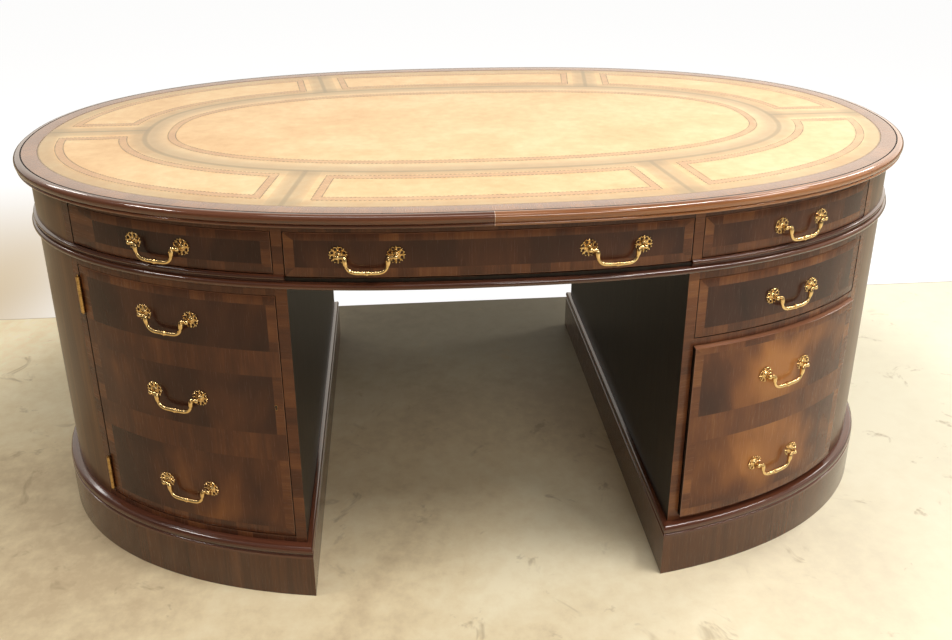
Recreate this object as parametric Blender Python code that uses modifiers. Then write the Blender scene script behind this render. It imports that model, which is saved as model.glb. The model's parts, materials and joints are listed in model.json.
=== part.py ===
"""Oval partners desk: two pedestals, a frieze of drawers and a leather top.

Metres, +Z up. +X runs along the desk's length, and -Y is the front of the first sitter.
The origin is on the floor under the middle. The desk is the same seen from either side:
whatever the front has, the back has too, turned half a turn about the vertical middle.
Left and right in a name are as the sitter of that side sees them.
"""

import math

import bmesh
import bpy
from mathutils import Matrix, Vector

# Plan of the top: a superellipse, squarer than an ellipse along its length than across.
TOP_HALF_LENGTH = 0.910
TOP_HALF_DEPTH = 0.550
LENGTH_POWER = 2.48
DEPTH_POWER = 2.15

# How far each outline lies inside the edge of the top.
BODY_INSET = 0.0245
PLINTH_INSET = 0.0065
LEATHER_INSET = 0.0435

# Heights, from the floor up.
PLINTH_HEIGHT = 0.110
BOTTOM_BOARD = 0.0120
FILE_OPENING = 0.3682
DRAWER_RAIL = 0.0135
UPPER_OPENING = 0.117
TOP_BOARD = 0.0158
FRIEZE_HEIGHT = 0.1145
FRIEZE_TOP_RAIL = 0.0136
TOP_THICKNESS = 0.0231

# Widths across the front, from the middle outwards, and the plain curved end.
KNEE_HALF = 0.3435
FRIEZE_STILE = 0.018
PLAIN_END = 0.150

# Boards, fronts and drawer boxes.
CASE_WALL = 0.020
APRON_WALL = 0.022
DIVIDER = 0.018
WEB = 0.015
FRONT_THICKNESS = 0.020
BOX_WALL = 0.010
BOX_FLOOR = 0.006
BOX_DROP = 0.012
FILE_BOX_DROP = 0.030
SHELF_THICKNESS = 0.016
SHELF_HOUSING = 0.005
SHELF_SETBACK = 0.030
SHELF_HEIGHT_SHARE = 0.48

# Clearances.
CONTACT = 0.0003
FRONT_GAP = 0.0015
BOX_SIDE_GAP = 0.003
BOX_BACK_GAP = 0.006
RUNNING_GAP = 0.0007
OVERRUN = 0.010
WELD = 0.00001

# The front's file drawer stands a little open, as found.
FILE_DRAWER_AJAR = 0.012

# Mouldings: how far each stands out, and how tall it is.
EDGE_WIDTH = 0.0125
LEATHER_THICKNESS = 0.0016
WAIST_HEIGHT = 0.0230
WAIST_OUT = 0.010
CENTRE_DRAWER_DROP = 0.004
PLINTH_MOULDING_HEIGHT = 0.024
PLINTH_LEDGE = 0.011
PLINTH_BOARD = 0.022

# Handles: two rosettes with posts, and a bail that swings between the posts.
HANDLE_CENTRES = 0.095
ROSETTE_RADIUS = 0.0160
ROSETTE_THICKNESS = 0.0022
ROSETTE_SEAT = 0.004
POST_RADIUS = 0.0042
POST_LENGTH = 0.0170
PIVOT_STANDOFF = 0.0135
BAIL_DROP = 0.028
BAIL_HALF_WIDTH = 0.0362
GRIP_RADIUS = 0.0032
CENTRE_HANDLE_SHARE = 0.60
FILE_HANDLE_SHARES = (0.77, 0.237)

# Door hinges, at the outer edge of each door.
BARREL_RADIUS = 0.0040
BARREL_LENGTH = 0.080
LEAF_DEPTH = 0.020
HINGE_TOP_MARGIN = 0.020
HINGE_BOTTOM_MARGIN = 0.008

# How finely the round forms are cut, and how often a place is narrowed down.
ARC_SEGMENTS = 30
KNEE_SEGMENTS = 6
ROSETTE_SIDES = 10
BARREL_SIDES = 8
BAIL_ROUNDING = 1
HALVINGS = 50
PASSES = 4

# Mouldings as (share of the width, share of the height), from the inner foot outwards and up.
EDGE_SHARES = (
    (1.0, 0.0), (0.42, 0.0), (0.20, 0.14), (0.34, 0.26), (0.06, 0.42),
    (0.0, 0.64), (0.20, 0.87), (0.58, 1.0), (1.0, 1.0),
)
WAIST_SHARES = (
    (0.0, 0.0), (0.62, 0.0), (1.0, 0.20), (0.80, 0.42), (0.34, 0.50),
    (0.26, 0.66), (0.62, 0.78), (0.52, 0.94), (0.0, 1.0),
)
WAIST_CUT_SHARE = 0.50
PLINTH_SHARES = (
    (1.0, 0.0), (1.0, 0.22), (0.80, 0.34), (1.0, 0.62), (0.76, 0.90), (0.28, 1.0),
)

# The bail's centre line from one pin to the knop, as (share of the half width, share of
# the drop), with the share of the grip's radius there.
BAIL_SHARES = (
    (1.0, 0.0, 0.62), (0.99, 0.34, 0.62), (0.96, 0.70, 0.78), (0.80, 0.96, 0.90),
    (0.19, 1.0, 1.0), (0.10, 1.0, 1.40),
)
PIN_SHARE = 0.58

# Levels and places that follow from the sizes above.
CASE_BOTTOM = PLINTH_HEIGHT + CONTACT
FILE_SILL = CASE_BOTTOM + BOTTOM_BOARD
RAIL_BOTTOM = FILE_SILL + FILE_OPENING
RAIL_TOP = RAIL_BOTTOM + DRAWER_RAIL
CASE_HEAD = RAIL_TOP + UPPER_OPENING
CASE_TOP = CASE_HEAD + TOP_BOARD
FRIEZE_BOTTOM = CASE_TOP + CONTACT
FRIEZE_TOP = FRIEZE_BOTTOM + FRIEZE_HEIGHT
FRIEZE_SILL = FRIEZE_BOTTOM + WAIST_HEIGHT
FRIEZE_HEAD = FRIEZE_TOP - FRIEZE_TOP_RAIL
SLAB_BOTTOM = FRIEZE_TOP + CONTACT
DESK_TOP = SLAB_BOTTOM + TOP_THICKNESS

INNER_EDGE = KNEE_HALF + CASE_WALL
OUTER_EDGE = TOP_HALF_LENGTH - BODY_INSET - PLAIN_END
CENTRE_EDGE = INNER_EDGE - FRIEZE_STILE
REACH = TOP_HALF_DEPTH + OVERRUN
SPAN = TOP_HALF_LENGTH + OVERRUN
HALF_DIVIDER = DIVIDER / 2
BOX_BACK = -HALF_DIVIDER - BOX_BACK_GAP

# Colour, roughness and metallic value of each finish.
FINISHES = {
    "mahogany": ((0.075, 0.024, 0.012), 0.28, 0.0),
    "mahogany_edge": ((0.19, 0.065, 0.030), 0.22, 0.0),
    "leather": ((0.80, 0.58, 0.27), 0.45, 0.0),
    "drawer_oak": ((0.46, 0.31, 0.17), 0.55, 0.0),
    "brass": ((0.74, 0.50, 0.18), 0.24, 1.0),
}

for old in list(bpy.data.objects):
    bpy.data.objects.remove(old)

desk = bpy.data.collections.new("partners_desk")
cutters = bpy.data.collections.new("cutters")
for group in (desk, cutters):
    bpy.context.scene.collection.children.link(group)


def finish_of(name, kind):
    """A material of its own for one piece."""
    colour, roughness, metallic = FINISHES[kind]
    material = bpy.data.materials.new(name + "_finish")
    material.use_nodes = True
    shader = material.node_tree.nodes["Principled BSDF"]
    shader.inputs["Base Color"].default_value = (*colour, 1.0)
    shader.inputs["Roughness"].default_value = roughness
    shader.inputs["Metallic"].default_value = metallic
    material.diffuse_color = (*colour, 1.0)
    return material


def piece(name, mesh, kind, parent=None):
    """Place a mesh in the desk under its own name."""
    made = bpy.data.objects.new(name, mesh)
    if not mesh.materials:
        mesh.materials.append(None)
    desk.objects.link(made)
    made.material_slots[0].link = "OBJECT"
    made.material_slots[0].material = finish_of(name, kind)
    made.parent = parent
    return made


def frame_empty(name, parent=None):
    """An empty that carries the pieces of one assembly."""
    empty = bpy.data.objects.new(name, None)
    desk.objects.link(empty)
    empty.parent = parent
    return empty


def cutter(name, mesh):
    """A guide solid for a Boolean."""
    made = bpy.data.objects.new(name, mesh)
    made.hide_render = True
    made.display_type = "WIRE"
    cutters.objects.link(made)
    return made


def combine(made, other, operation):
    """Cut a guide solid out of a piece, or join it on."""
    step = made.modifiers.new(other.name, "BOOLEAN")
    step.operation = operation
    step.object = other
    step.solver = "EXACT"


def evaluated_mesh(source):
    """The mesh of an object with its modifiers or its curve worked out."""
    bpy.context.view_layer.update()
    graph = bpy.context.evaluated_depsgraph_get()
    return bpy.data.meshes.new_from_object(source.evaluated_get(graph))


def settle(made):
    """Work out a piece's Booleans, so that copies can share its mesh."""
    mesh = evaluated_mesh(made)
    mesh.name = made.name
    made.modifiers.clear()
    made.data = mesh
    return mesh


def welded(mesh):
    """Close a mesh's loose caps and point its faces outwards."""
    shape = bmesh.new()
    shape.from_mesh(mesh)
    bmesh.ops.remove_doubles(shape, verts=shape.verts, dist=WELD)
    bmesh.ops.recalc_face_normals(shape, faces=shape.faces)
    shape.to_mesh(mesh)
    shape.free()
    return mesh


def from_curve(name, curve):
    """A closed mesh from a curve, which is removed again."""
    guide = bpy.data.objects.new(name, curve)
    cutters.objects.link(guide)
    mesh = welded(evaluated_mesh(guide))
    mesh.name = name
    bpy.data.objects.remove(guide)
    return mesh


def plate(name, loops, low, high):
    """A flat outline, with any holes in it, as thick as from low to high."""
    curve = bpy.data.curves.new(name, "CURVE")
    curve.dimensions = "2D"
    curve.fill_mode = "BOTH"
    curve.extrude = (high - low) / 2
    for loop in loops:
        spline = curve.splines.new("POLY")
        spline.points.add(len(loop) - 1)
        for point, (x, y) in zip(spline.points, loop):
            point.co = (x, y, 0, 1)
        spline.use_cyclic_u = True
    mesh = from_curve(name, curve)
    mesh.transform(Matrix.Translation((0, 0, (low + high) / 2)))
    return mesh


def blocks(name, boxes):
    """Boxes, each from its lowest to its highest corner, in one mesh."""
    shape = bmesh.new()
    for low, high in boxes:
        low, high = Vector(low), Vector(high)
        place = Matrix.Translation((low + high) / 2)
        bmesh.ops.create_cube(shape, size=1.0, matrix=place @ Matrix.Diagonal((*(high - low), 1)))
    mesh = bpy.data.meshes.new(name)
    shape.to_mesh(mesh)
    shape.free()
    return mesh


def loft(name, loops, closed):
    """A skin over loops with equal numbers of points, closed on itself or capped."""
    shape = bmesh.new()
    rows = [[shape.verts.new(point) for point in loop] for loop in loops]
    pairs = list(zip(rows, rows[1:]))
    if closed:
        pairs.append((rows[-1], rows[0]))
    else:
        shape.faces.new(rows[0])
        shape.faces.new(rows[-1])
    count = len(loops[0])
    for near, far in pairs:
        for i in range(count):
            j = (i + 1) % count
            shape.faces.new((near[i], near[j], far[j], far[i]))
    bmesh.ops.recalc_face_normals(shape, faces=shape.faces)
    mesh = bpy.data.meshes.new(name)
    shape.to_mesh(mesh)
    shape.free()
    return mesh


def turned(name, profile, sides):
    """A profile of (radius, height), from the top down, turned about the vertical axis."""
    line = bpy.data.meshes.new(name)
    line.from_pydata([(r, 0, z) for r, z in profile], [(i, i + 1) for i in range(len(profile) - 1)], [])
    guide = bpy.data.objects.new(name, line)
    cutters.objects.link(guide)
    screw = guide.modifiers.new("turn", "SCREW")
    screw.steps = screw.render_steps = sides
    screw.use_merge_vertices = True
    screw.merge_threshold = WELD
    mesh = welded(evaluated_mesh(guide))
    mesh.name = name
    bpy.data.objects.remove(guide)
    return mesh


def copies(name, mesh, places):
    """One mesh that holds a copy of another at each place."""
    shape = bmesh.new()
    for place in places:
        before = len(shape.verts)
        shape.from_mesh(mesh)
        shape.verts.ensure_lookup_table()
        bmesh.ops.transform(shape, matrix=place, verts=shape.verts[before:])
    gathered = bpy.data.meshes.new(name)
    shape.to_mesh(gathered)
    shape.free()
    return gathered


def oval_part(share, half, power):
    """One coordinate of the oval, and the part of its normal in that direction."""
    place = half * math.copysign(abs(share) ** (2 / power), share)
    slope = power * math.copysign(abs(place / half) ** (power - 1), place) / half
    return place, slope


def oval_point(angle, inset):
    """A point of the oval, moved inwards along its normal."""
    x, slope_x = oval_part(math.cos(angle), TOP_HALF_LENGTH, LENGTH_POWER)
    y, slope_y = oval_part(math.sin(angle), TOP_HALF_DEPTH, DEPTH_POWER)
    normal = Vector((slope_x, slope_y)).normalized()
    return x - inset * normal.x, y - inset * normal.y


def angle_where(x, inset):
    """The angle, in the first quarter, at which the oval reaches x."""
    low, high = 0.0, math.pi / 2
    for _ in range(HALVINGS):
        middle = (low + high) / 2
        if oval_point(middle, inset)[0] > x:
            low = middle
        else:
            high = middle
    return low


def between(start, stop, segments):
    """Evenly spaced angles from start up to, and without, stop."""
    return [start + (stop - start) * i / segments for i in range(segments)]


CORNER = angle_where(KNEE_HALF, BODY_INSET)
STATIONS = (
    between(-CORNER, CORNER, ARC_SEGMENTS)
    + between(CORNER, math.pi - CORNER, KNEE_SEGMENTS)
    + between(math.pi - CORNER, math.pi + CORNER, ARC_SEGMENTS)
    + between(math.pi + CORNER, 2 * math.pi - CORNER, KNEE_SEGMENTS)
)


def oval(inset):
    """The whole oval as a loop."""
    return [oval_point(angle, inset) for angle in STATIONS]


def pedestal(inset, knee):
    """Plan of the left pedestal: the oval's end, closed by a straight side at x = -knee."""
    corner = angle_where(knee, inset)
    angles = [math.pi - corner]
    angles += STATIONS[ARC_SEGMENTS + KNEE_SEGMENTS + 1:2 * ARC_SEGMENTS + KNEE_SEGMENTS]
    angles += [math.pi + corner]
    return [oval_point(angle, inset) for angle in angles]


def at_height(loop, z):
    """A flat loop lifted to a height."""
    return [(x, y, z) for x, y in loop]


def face_y(x, inset):
    """Where the front face of the oval, cut into flats, stands at x."""
    line = sorted(point for point in oval(inset) if point[1] < 0)
    for (x0, y0), (x1, y1) in zip(line, line[1:]):
        if x0 <= x <= x1:
            return y0 + (y1 - y0) * (x - x0) / (x1 - x0)
    return line[0][1] if x < line[0][0] else line[-1][1]


def face_line(x_from, x_to, inset):
    """The front face of the oval between two places, left to right."""
    inner = sorted(p for p in oval(inset) if p[1] < 0 and x_from < p[0] < x_to)
    return [(x_from, face_y(x_from, inset)), *inner, (x_to, face_y(x_to, inset))]


def front_plan(x_from, x_to):
    """Plan of a drawer front or a door: a curved slab."""
    outer = face_line(x_from, x_to, BODY_INSET)
    inner = face_line(x_from, x_to, BODY_INSET + FRONT_THICKNESS)
    return outer + inner[::-1]


def middle_of(x_from, x_to):
    """The x that halves a front's length along its face."""
    line = [Vector(point) for point in face_line(x_from, x_to, BODY_INSET)]
    lengths = [(b - a).length for a, b in zip(line, line[1:])]
    left = sum(lengths) / 2
    for start, end, length in zip(line, line[1:], lengths):
        if left <= length:
            return start.lerp(end, left / length).x
        left -= length
    return line[-1].x


def handle_axes(x):
    """Rosette centres left and right of x on the front face, and the handle's direction."""
    reach = HANDLE_CENTRES / 2
    for _ in range(PASSES):
        left = Vector((x - reach, face_y(x - reach, BODY_INSET), 0))
        right = Vector((x + reach, face_y(x + reach, BODY_INSET), 0))
        reach *= HANDLE_CENTRES / (right - left).length
    along = (right - left).normalized()
    outward = along.cross(Vector((0, 0, 1)))
    return left, right, along, outward


def handle_posts(x, z):
    """Places of the two posts of a handle, their own z axes pointing out of the front."""
    left, right, along, outward = handle_axes(x)
    turn = Matrix((along, Vector((0, 0, 1)), outward)).transposed().to_4x4()
    return [Matrix.Translation(Vector((at.x, at.y, z))) @ turn for at in (left, right)]


def bail_place(x, z):
    """Place of a bail: its x axis is its pivot, and it hangs down its own z axis."""
    left, right, along, outward = handle_axes(x)
    middle = (left + right) / 2 + outward * PIVOT_STANDOFF
    turn = Matrix((along, -outward, Vector((0, 0, 1)))).transposed().to_4x4()
    return Matrix.Translation(Vector((middle.x, middle.y, z))) @ turn


def bail_mesh():
    """A swan-neck bail with a swelling grip and a knop in its middle."""
    pin_end = HANDLE_CENTRES / 2 - POST_RADIUS - CONTACT
    half = [(pin_end, 0, PIN_SHARE)]
    half += [(w * BAIL_HALF_WIDTH, -d * BAIL_DROP, r) for w, d, r in BAIL_SHARES]
    line = half + [(-x, z, r) for x, z, r in half[::-1]]
    curve = bpy.data.curves.new("bail", "CURVE")
    curve.dimensions = "3D"
    curve.bevel_depth = GRIP_RADIUS
    curve.bevel_resolution = BAIL_ROUNDING
    curve.use_fill_caps = True
    spline = curve.splines.new("POLY")
    spline.points.add(len(line) - 1)
    for point, (x, z, radius) in zip(spline.points, line):
        point.co = (x, 0, z, 1)
        point.radius = radius
    return from_curve("bail", curve)


def post_mesh():
    """A rosette with the post that carries the bail, seated a little way into the front."""
    profile = (
        (0, POST_LENGTH), (POST_RADIUS, POST_LENGTH), (POST_RADIUS, ROSETTE_THICKNESS),
        (ROSETTE_RADIUS, ROSETTE_THICKNESS), (ROSETTE_RADIUS, -ROSETTE_SEAT), (0, -ROSETTE_SEAT),
    )
    return turned("rosette_and_post", profile, ROSETTE_SIDES)


def moulding(name, shares, width, height, low, loop_at):
    """A moulding from its shares: loop_at gives the plan for a distance outwards."""
    loops = [at_height(loop_at(w * width), low + h * height) for w, h in shares]
    return loft(name, loops, closed=True)


def make_top():
    """The slab with its shallow well, the leather in the well, and the applied edge."""
    rim = EDGE_WIDTH + CONTACT
    well = DESK_TOP - LEATHER_THICKNESS
    slab = [
        at_height(oval(rim), SLAB_BOTTOM), at_height(oval(rim), DESK_TOP),
        at_height(oval(LEATHER_INSET), DESK_TOP), at_height(oval(LEATHER_INSET), well),
    ]
    piece("top_board", loft("top_board", slab, closed=False), "mahogany")
    skin = oval(LEATHER_INSET + CONTACT)
    leather = [at_height(skin, well + CONTACT), at_height(skin, DESK_TOP)]
    piece("leather_inset", loft("leather_inset", leather, closed=False), "leather")
    edge = moulding("edge_moulding", EDGE_SHARES, EDGE_WIDTH, TOP_THICKNESS, SLAB_BOTTOM, oval)
    piece("edge_moulding", edge, "mahogany_edge")


def both_ends(boxes):
    """Boxes of the front, and the same turned half a turn about the middle."""
    turned_round = [((-hx, -hy, lz), (-lx, -ly, hz)) for (lx, ly, lz), (hx, hy, hz) in boxes]
    return boxes + turned_round


def make_frieze():
    """The apron with its six openings, and the tray of floor and dividers behind it."""
    wall = BODY_INSET + APRON_WALL
    ring = plate("frieze_apron", [oval(BODY_INSET), oval(wall)], FRIEZE_BOTTOM, FRIEZE_TOP)
    apron = piece("frieze_apron", ring, "mahogany")
    low, high = FRIEZE_SILL, FRIEZE_HEAD
    openings = both_ends([
        ((-OUTER_EDGE, -REACH, low), (-INNER_EDGE, -HALF_DIVIDER, high)),
        ((-CENTRE_EDGE, -REACH, low - CENTRE_DRAWER_DROP), (CENTRE_EDGE, -HALF_DIVIDER, high)),
        ((INNER_EDGE, -REACH, low), (OUTER_EDGE, -HALF_DIVIDER, high)),
    ])
    combine(apron, cutter("frieze_openings", blocks("frieze_openings", openings)), "DIFFERENCE")

    tray_plan = oval(wall + CONTACT)
    tray = piece("frieze_tray", plate("frieze_tray", [tray_plan], FRIEZE_BOTTOM, FRIEZE_TOP), "drawer_oak")
    low, high = FRIEZE_SILL, FRIEZE_TOP + OVERRUN
    wells = both_ends([
        ((-OUTER_EDGE, -REACH, low), (-INNER_EDGE, -HALF_DIVIDER, high)),
        ((-CENTRE_EDGE, -REACH, low), (CENTRE_EDGE, -HALF_DIVIDER, high)),
        ((INNER_EDGE, -REACH, low), (OUTER_EDGE, -HALF_DIVIDER, high)),
        ((OUTER_EDGE + WEB, -REACH, low), (SPAN, REACH, high)),
    ])
    combine(tray, cutter("tray_wells", blocks("tray_wells", wells)), "DIFFERENCE")

    def waist_plan(out):
        return oval(BODY_INSET - CONTACT - out)

    band = moulding("waist_moulding", WAIST_SHARES, WAIST_OUT, WAIST_HEIGHT, FRIEZE_BOTTOM, waist_plan)
    waist = piece("waist_moulding", band, "mahogany_edge")
    low = FRIEZE_BOTTOM + WAIST_CUT_SHARE * WAIST_HEIGHT
    gaps = both_ends([((-CENTRE_EDGE, -REACH, low), (CENTRE_EDGE, -HALF_DIVIDER, FRIEZE_TOP))])
    combine(waist, cutter("waist_gaps", blocks("waist_gaps", gaps)), "DIFFERENCE")


def shelf_levels():
    """Underside and upper side of the cupboard's shelf."""
    low = FILE_SILL + SHELF_HEIGHT_SHARE * (CASE_HEAD - FILE_SILL)
    return low, low + SHELF_THICKNESS


def shelf_box(slack):
    """Lowest and highest corner of the left pedestal's shelf, or of its housing with slack."""
    low, high = shelf_levels()
    front = face_y(-OUTER_EDGE, BODY_INSET) + FRONT_THICKNESS + SHELF_SETBACK
    return (
        (-OUTER_EDGE - SHELF_HOUSING - slack, front - slack, low - slack),
        (-INNER_EDGE + SHELF_HOUSING + slack, -HALF_DIVIDER - CONTACT + slack, high + slack),
    )


def make_pedestals():
    """Plinth, case and inner frame of each pedestal; the right one is the left turned round."""
    case = plate("pedestal_case", [pedestal(BODY_INSET, KNEE_HALF)], CASE_BOTTOM, CASE_TOP)
    case = piece("left_pedestal_case", case, "mahogany")
    inner = pedestal(BODY_INSET + CASE_WALL, INNER_EDGE)
    combine(case, cutter("case_room", plate("case_room", [inner], FILE_SILL, CASE_HEAD)), "DIFFERENCE")
    openings = [
        ((-OUTER_EDGE, -REACH, FILE_SILL), (-INNER_EDGE, -HALF_DIVIDER, CASE_HEAD)),
        ((-OUTER_EDGE, HALF_DIVIDER, FILE_SILL), (-INNER_EDGE, REACH, RAIL_BOTTOM)),
        ((-OUTER_EDGE, HALF_DIVIDER, RAIL_TOP), (-INNER_EDGE, REACH, CASE_HEAD)),
    ]
    combine(case, cutter("case_openings", blocks("case_openings", openings)), "DIFFERENCE")
    housing = cutter("shelf_housing", blocks("shelf_housing", [shelf_box(CONTACT)]))
    combine(case, housing, "DIFFERENCE")

    plan = pedestal(BODY_INSET + CASE_WALL + CONTACT, INNER_EDGE + CONTACT)
    low, high = FILE_SILL + CONTACT, CASE_HEAD - CONTACT
    core = piece("left_pedestal_frame", plate("pedestal_frame", [plan], low, high), "drawer_oak")
    low, high = low - OVERRUN, high + OVERRUN
    rooms = [
        ((-OUTER_EDGE, -REACH, low), (0, -HALF_DIVIDER, high)),
        ((-OUTER_EDGE, HALF_DIVIDER, low), (0, REACH, RAIL_BOTTOM)),
        ((-OUTER_EDGE, HALF_DIVIDER, RAIL_TOP), (0, REACH, high)),
        ((-SPAN, -REACH, low), (-OUTER_EDGE - WEB, REACH, high)),
    ]
    combine(core, cutter("frame_rooms", blocks("frame_rooms", rooms)), "DIFFERENCE")
    combine(core, housing, "DIFFERENCE")

    def plinth_plan(out):
        ledge = out * PLINTH_LEDGE / (BODY_INSET - PLINTH_INSET)
        return pedestal(BODY_INSET - out, KNEE_HALF - ledge)

    out = BODY_INSET - PLINTH_INSET
    foot = PLINTH_HEIGHT - PLINTH_MOULDING_HEIGHT
    outer = [at_height(plinth_plan(out), 0)]
    outer += [at_height(plinth_plan(w * out), foot + h * PLINTH_MOULDING_HEIGHT) for w, h in PLINTH_SHARES]
    hollow = pedestal(PLINTH_INSET + PLINTH_BOARD, KNEE_HALF - PLINTH_LEDGE + PLINTH_BOARD)
    hollow = [at_height(hollow, PLINTH_HEIGHT), at_height(hollow, 0)]
    plinth = piece("left_plinth", loft("plinth", outer + hollow, closed=True), "mahogany")

    for made, kind in ((case, "mahogany"), (core, "drawer_oak"), (plinth, "mahogany")):
        twin = piece(made.name.replace("left", "right"), settle(made), kind)
        twin.rotation_euler.z = math.pi


def drawer_box(name, x_from, x_to, low, high):
    """Sides, back and floor of a drawer, open above and towards its front."""
    inset = BODY_INSET + FRONT_THICKNESS + CONTACT
    plan = face_line(x_from, x_to, inset) + [(x_to, BOX_BACK), (x_from, BOX_BACK)]
    box = cutter(name, plate(name, [plan], low, high))
    near = (x_from + BOX_WALL, -REACH, low + BOX_FLOOR)
    far = (x_to - BOX_WALL, BOX_BACK - BOX_WALL, high + OVERRUN)
    combine(box, cutter(name + "_room", blocks(name + "_room", [(near, far)])), "DIFFERENCE")
    return settle(box)


def front_with_posts(name, x_from, x_to, low, high, handles):
    """A curved front and the rosettes and posts of its handles."""
    x_from, x_to = x_from + FRONT_GAP, x_to - FRONT_GAP
    slab = cutter(name, plate(name, [front_plan(x_from, x_to)], low + FRONT_GAP, high - FRONT_GAP))
    places = [place for x, z in handles for place in handle_posts(x, z)]
    combine(slab, cutter(name + "_posts", copies(name + "_posts", POST, places)), "UNION")
    return settle(slab)


def make_drawer(label, x_from, x_to, front_low, high, box_low, box_drop, handles, bails):
    """One drawer's meshes, and the drawer itself on each side of the desk."""
    front = front_with_posts(label + "_front", x_from, x_to, front_low, high, handles)
    sides = (x_from + BOX_SIDE_GAP, x_to - BOX_SIDE_GAP)
    box = drawer_box(label + "_box", *sides, box_low + RUNNING_GAP, high - box_drop)
    for side in SIDES:
        drawer = frame_empty(side.name + "_" + label, side)
        piece(drawer.name + "_front", front, "mahogany", drawer)
        piece(drawer.name + "_box", box, "drawer_oak", drawer)
        hang_bails(drawer, Vector((0, 0, 0)), handles, bails)


def hang_bails(carrier, origin, handles, bails):
    """The bails of a drawer or a door, each on its own pivot."""
    for (x, z), bail in zip(handles, bails):
        hung = piece(carrier.parent.name + "_" + bail + "_bail", BAIL, "brass", carrier)
        hung.matrix_local = Matrix.Translation(-origin) @ bail_place(x, z)


def make_drawers():
    """The three drawers of each frieze, and the two of each sitter's right pedestal."""
    middle = (FRIEZE_SILL + FRIEZE_HEAD) / 2
    side = middle_of(INNER_EDGE, OUTER_EDGE)
    for label, x_from, x_to, x in (
        ("left_drawer", -OUTER_EDGE, -INNER_EDGE, -side),
        ("right_drawer", INNER_EDGE, OUTER_EDGE, side),
    ):
        make_drawer(
            label, x_from, x_to, FRIEZE_SILL, FRIEZE_HEAD, FRIEZE_SILL, BOX_DROP, [(x, middle)], [label],
        )
    x = CENTRE_HANDLE_SHARE * CENTRE_EDGE
    make_drawer(
        "centre_drawer", -CENTRE_EDGE, CENTRE_EDGE, FRIEZE_SILL - CENTRE_DRAWER_DROP, FRIEZE_HEAD,
        FRIEZE_SILL, BOX_DROP, [(-x, middle), (x, middle)], ["centre_left", "centre_right"],
    )
    make_drawer(
        "upper_drawer", INNER_EDGE, OUTER_EDGE, RAIL_TOP, CASE_HEAD, RAIL_TOP, BOX_DROP,
        [(side, UPPER_ROW)], ["upper_drawer"],
    )
    make_drawer(
        "file_drawer", INNER_EDGE, OUTER_EDGE, FILE_SILL, RAIL_BOTTOM, FILE_SILL, FILE_BOX_DROP,
        [(side, MIDDLE_ROW), (side, LOWER_ROW)], ["file_upper", "file_lower"],
    )


def hinge_axis():
    """Where the front door's hinge axis stands in plan, just off the face of its outer edge."""
    x = -OUTER_EDGE + FRONT_GAP / 2
    step = FRONT_GAP / 2
    along = Vector((2 * step, face_y(x + step, BODY_INSET) - face_y(x - step, BODY_INSET), 0))
    outward = along.normalized().cross(Vector((0, 0, 1)))
    return Vector((x, face_y(x, BODY_INSET), 0)) + outward * (BARREL_RADIUS + CONTACT)


def make_hinge_mesh(axis):
    """A barrel with the leaf that lies between the door's edge and the case."""
    barrel = bmesh.new()
    bmesh.ops.create_cone(
        barrel, cap_ends=True, segments=BARREL_SIDES, radius1=BARREL_RADIUS, radius2=BARREL_RADIUS,
        depth=BARREL_LENGTH,
    )
    mesh = bpy.data.meshes.new("hinge")
    barrel.to_mesh(mesh)
    barrel.free()
    hinge = cutter("hinge", mesh)
    middle = -OUTER_EDGE + FRONT_GAP / 2 - axis.x
    half = FRONT_GAP / 2 - CONTACT
    leaf_half = BARREL_LENGTH / 2 - BARREL_RADIUS
    leaf = [((middle - half, 0, -leaf_half), (middle + half, LEAF_DEPTH, leaf_half))]
    combine(hinge, cutter("hinge_leaf", blocks("hinge_leaf", leaf)), "UNION")
    return settle(hinge)


def make_cupboards():
    """The door, its two hinges and the shelf of each sitter's left pedestal."""
    x = -middle_of(INNER_EDGE, OUTER_EDGE)
    handles = [(x, UPPER_ROW), (x, MIDDLE_ROW), (x, LOWER_ROW)]
    slab = front_with_posts("door", -OUTER_EDGE, -INNER_EDGE, FILE_SILL, CASE_HEAD, handles)
    axis = hinge_axis()
    slab.transform(Matrix.Translation(-axis))
    hinge = make_hinge_mesh(axis)
    shelf = blocks("shelf", [shelf_box(0)])
    top_hinge = CASE_HEAD - HINGE_TOP_MARGIN - BARREL_LENGTH / 2
    low_hinge = FILE_SILL + HINGE_BOTTOM_MARGIN + BARREL_LENGTH / 2
    for side in SIDES:
        door = frame_empty(side.name + "_door_pivot", side)
        door.location = axis
        piece(side.name + "_cupboard_door", slab, "mahogany", door)
        hang_bails(door, axis, handles, ["door_upper", "door_middle", "door_lower"])
        piece(side.name + "_cupboard_shelf", shelf, "drawer_oak", side)
        for label, z in (("upper", top_hinge), ("lower", low_hinge)):
            made = piece(side.name + "_" + label + "_hinge", hinge, "brass", side)
            made.location = axis + Vector((0, 0, z))


UPPER_ROW = (RAIL_TOP + CASE_HEAD) / 2
MIDDLE_ROW, LOWER_ROW = (FILE_SILL + share * FILE_OPENING for share in FILE_HANDLE_SHARES)
POST = post_mesh()
BAIL = bail_mesh()
SIDES = [frame_empty("front"), frame_empty("back")]
SIDES[1].rotation_euler.z = math.pi

make_top()
make_frieze()
make_pedestals()
make_drawers()
make_cupboards()
bpy.data.objects["front_file_drawer"].location.y = -FILE_DRAWER_AJAR
bpy.context.view_layer.update()
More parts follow.
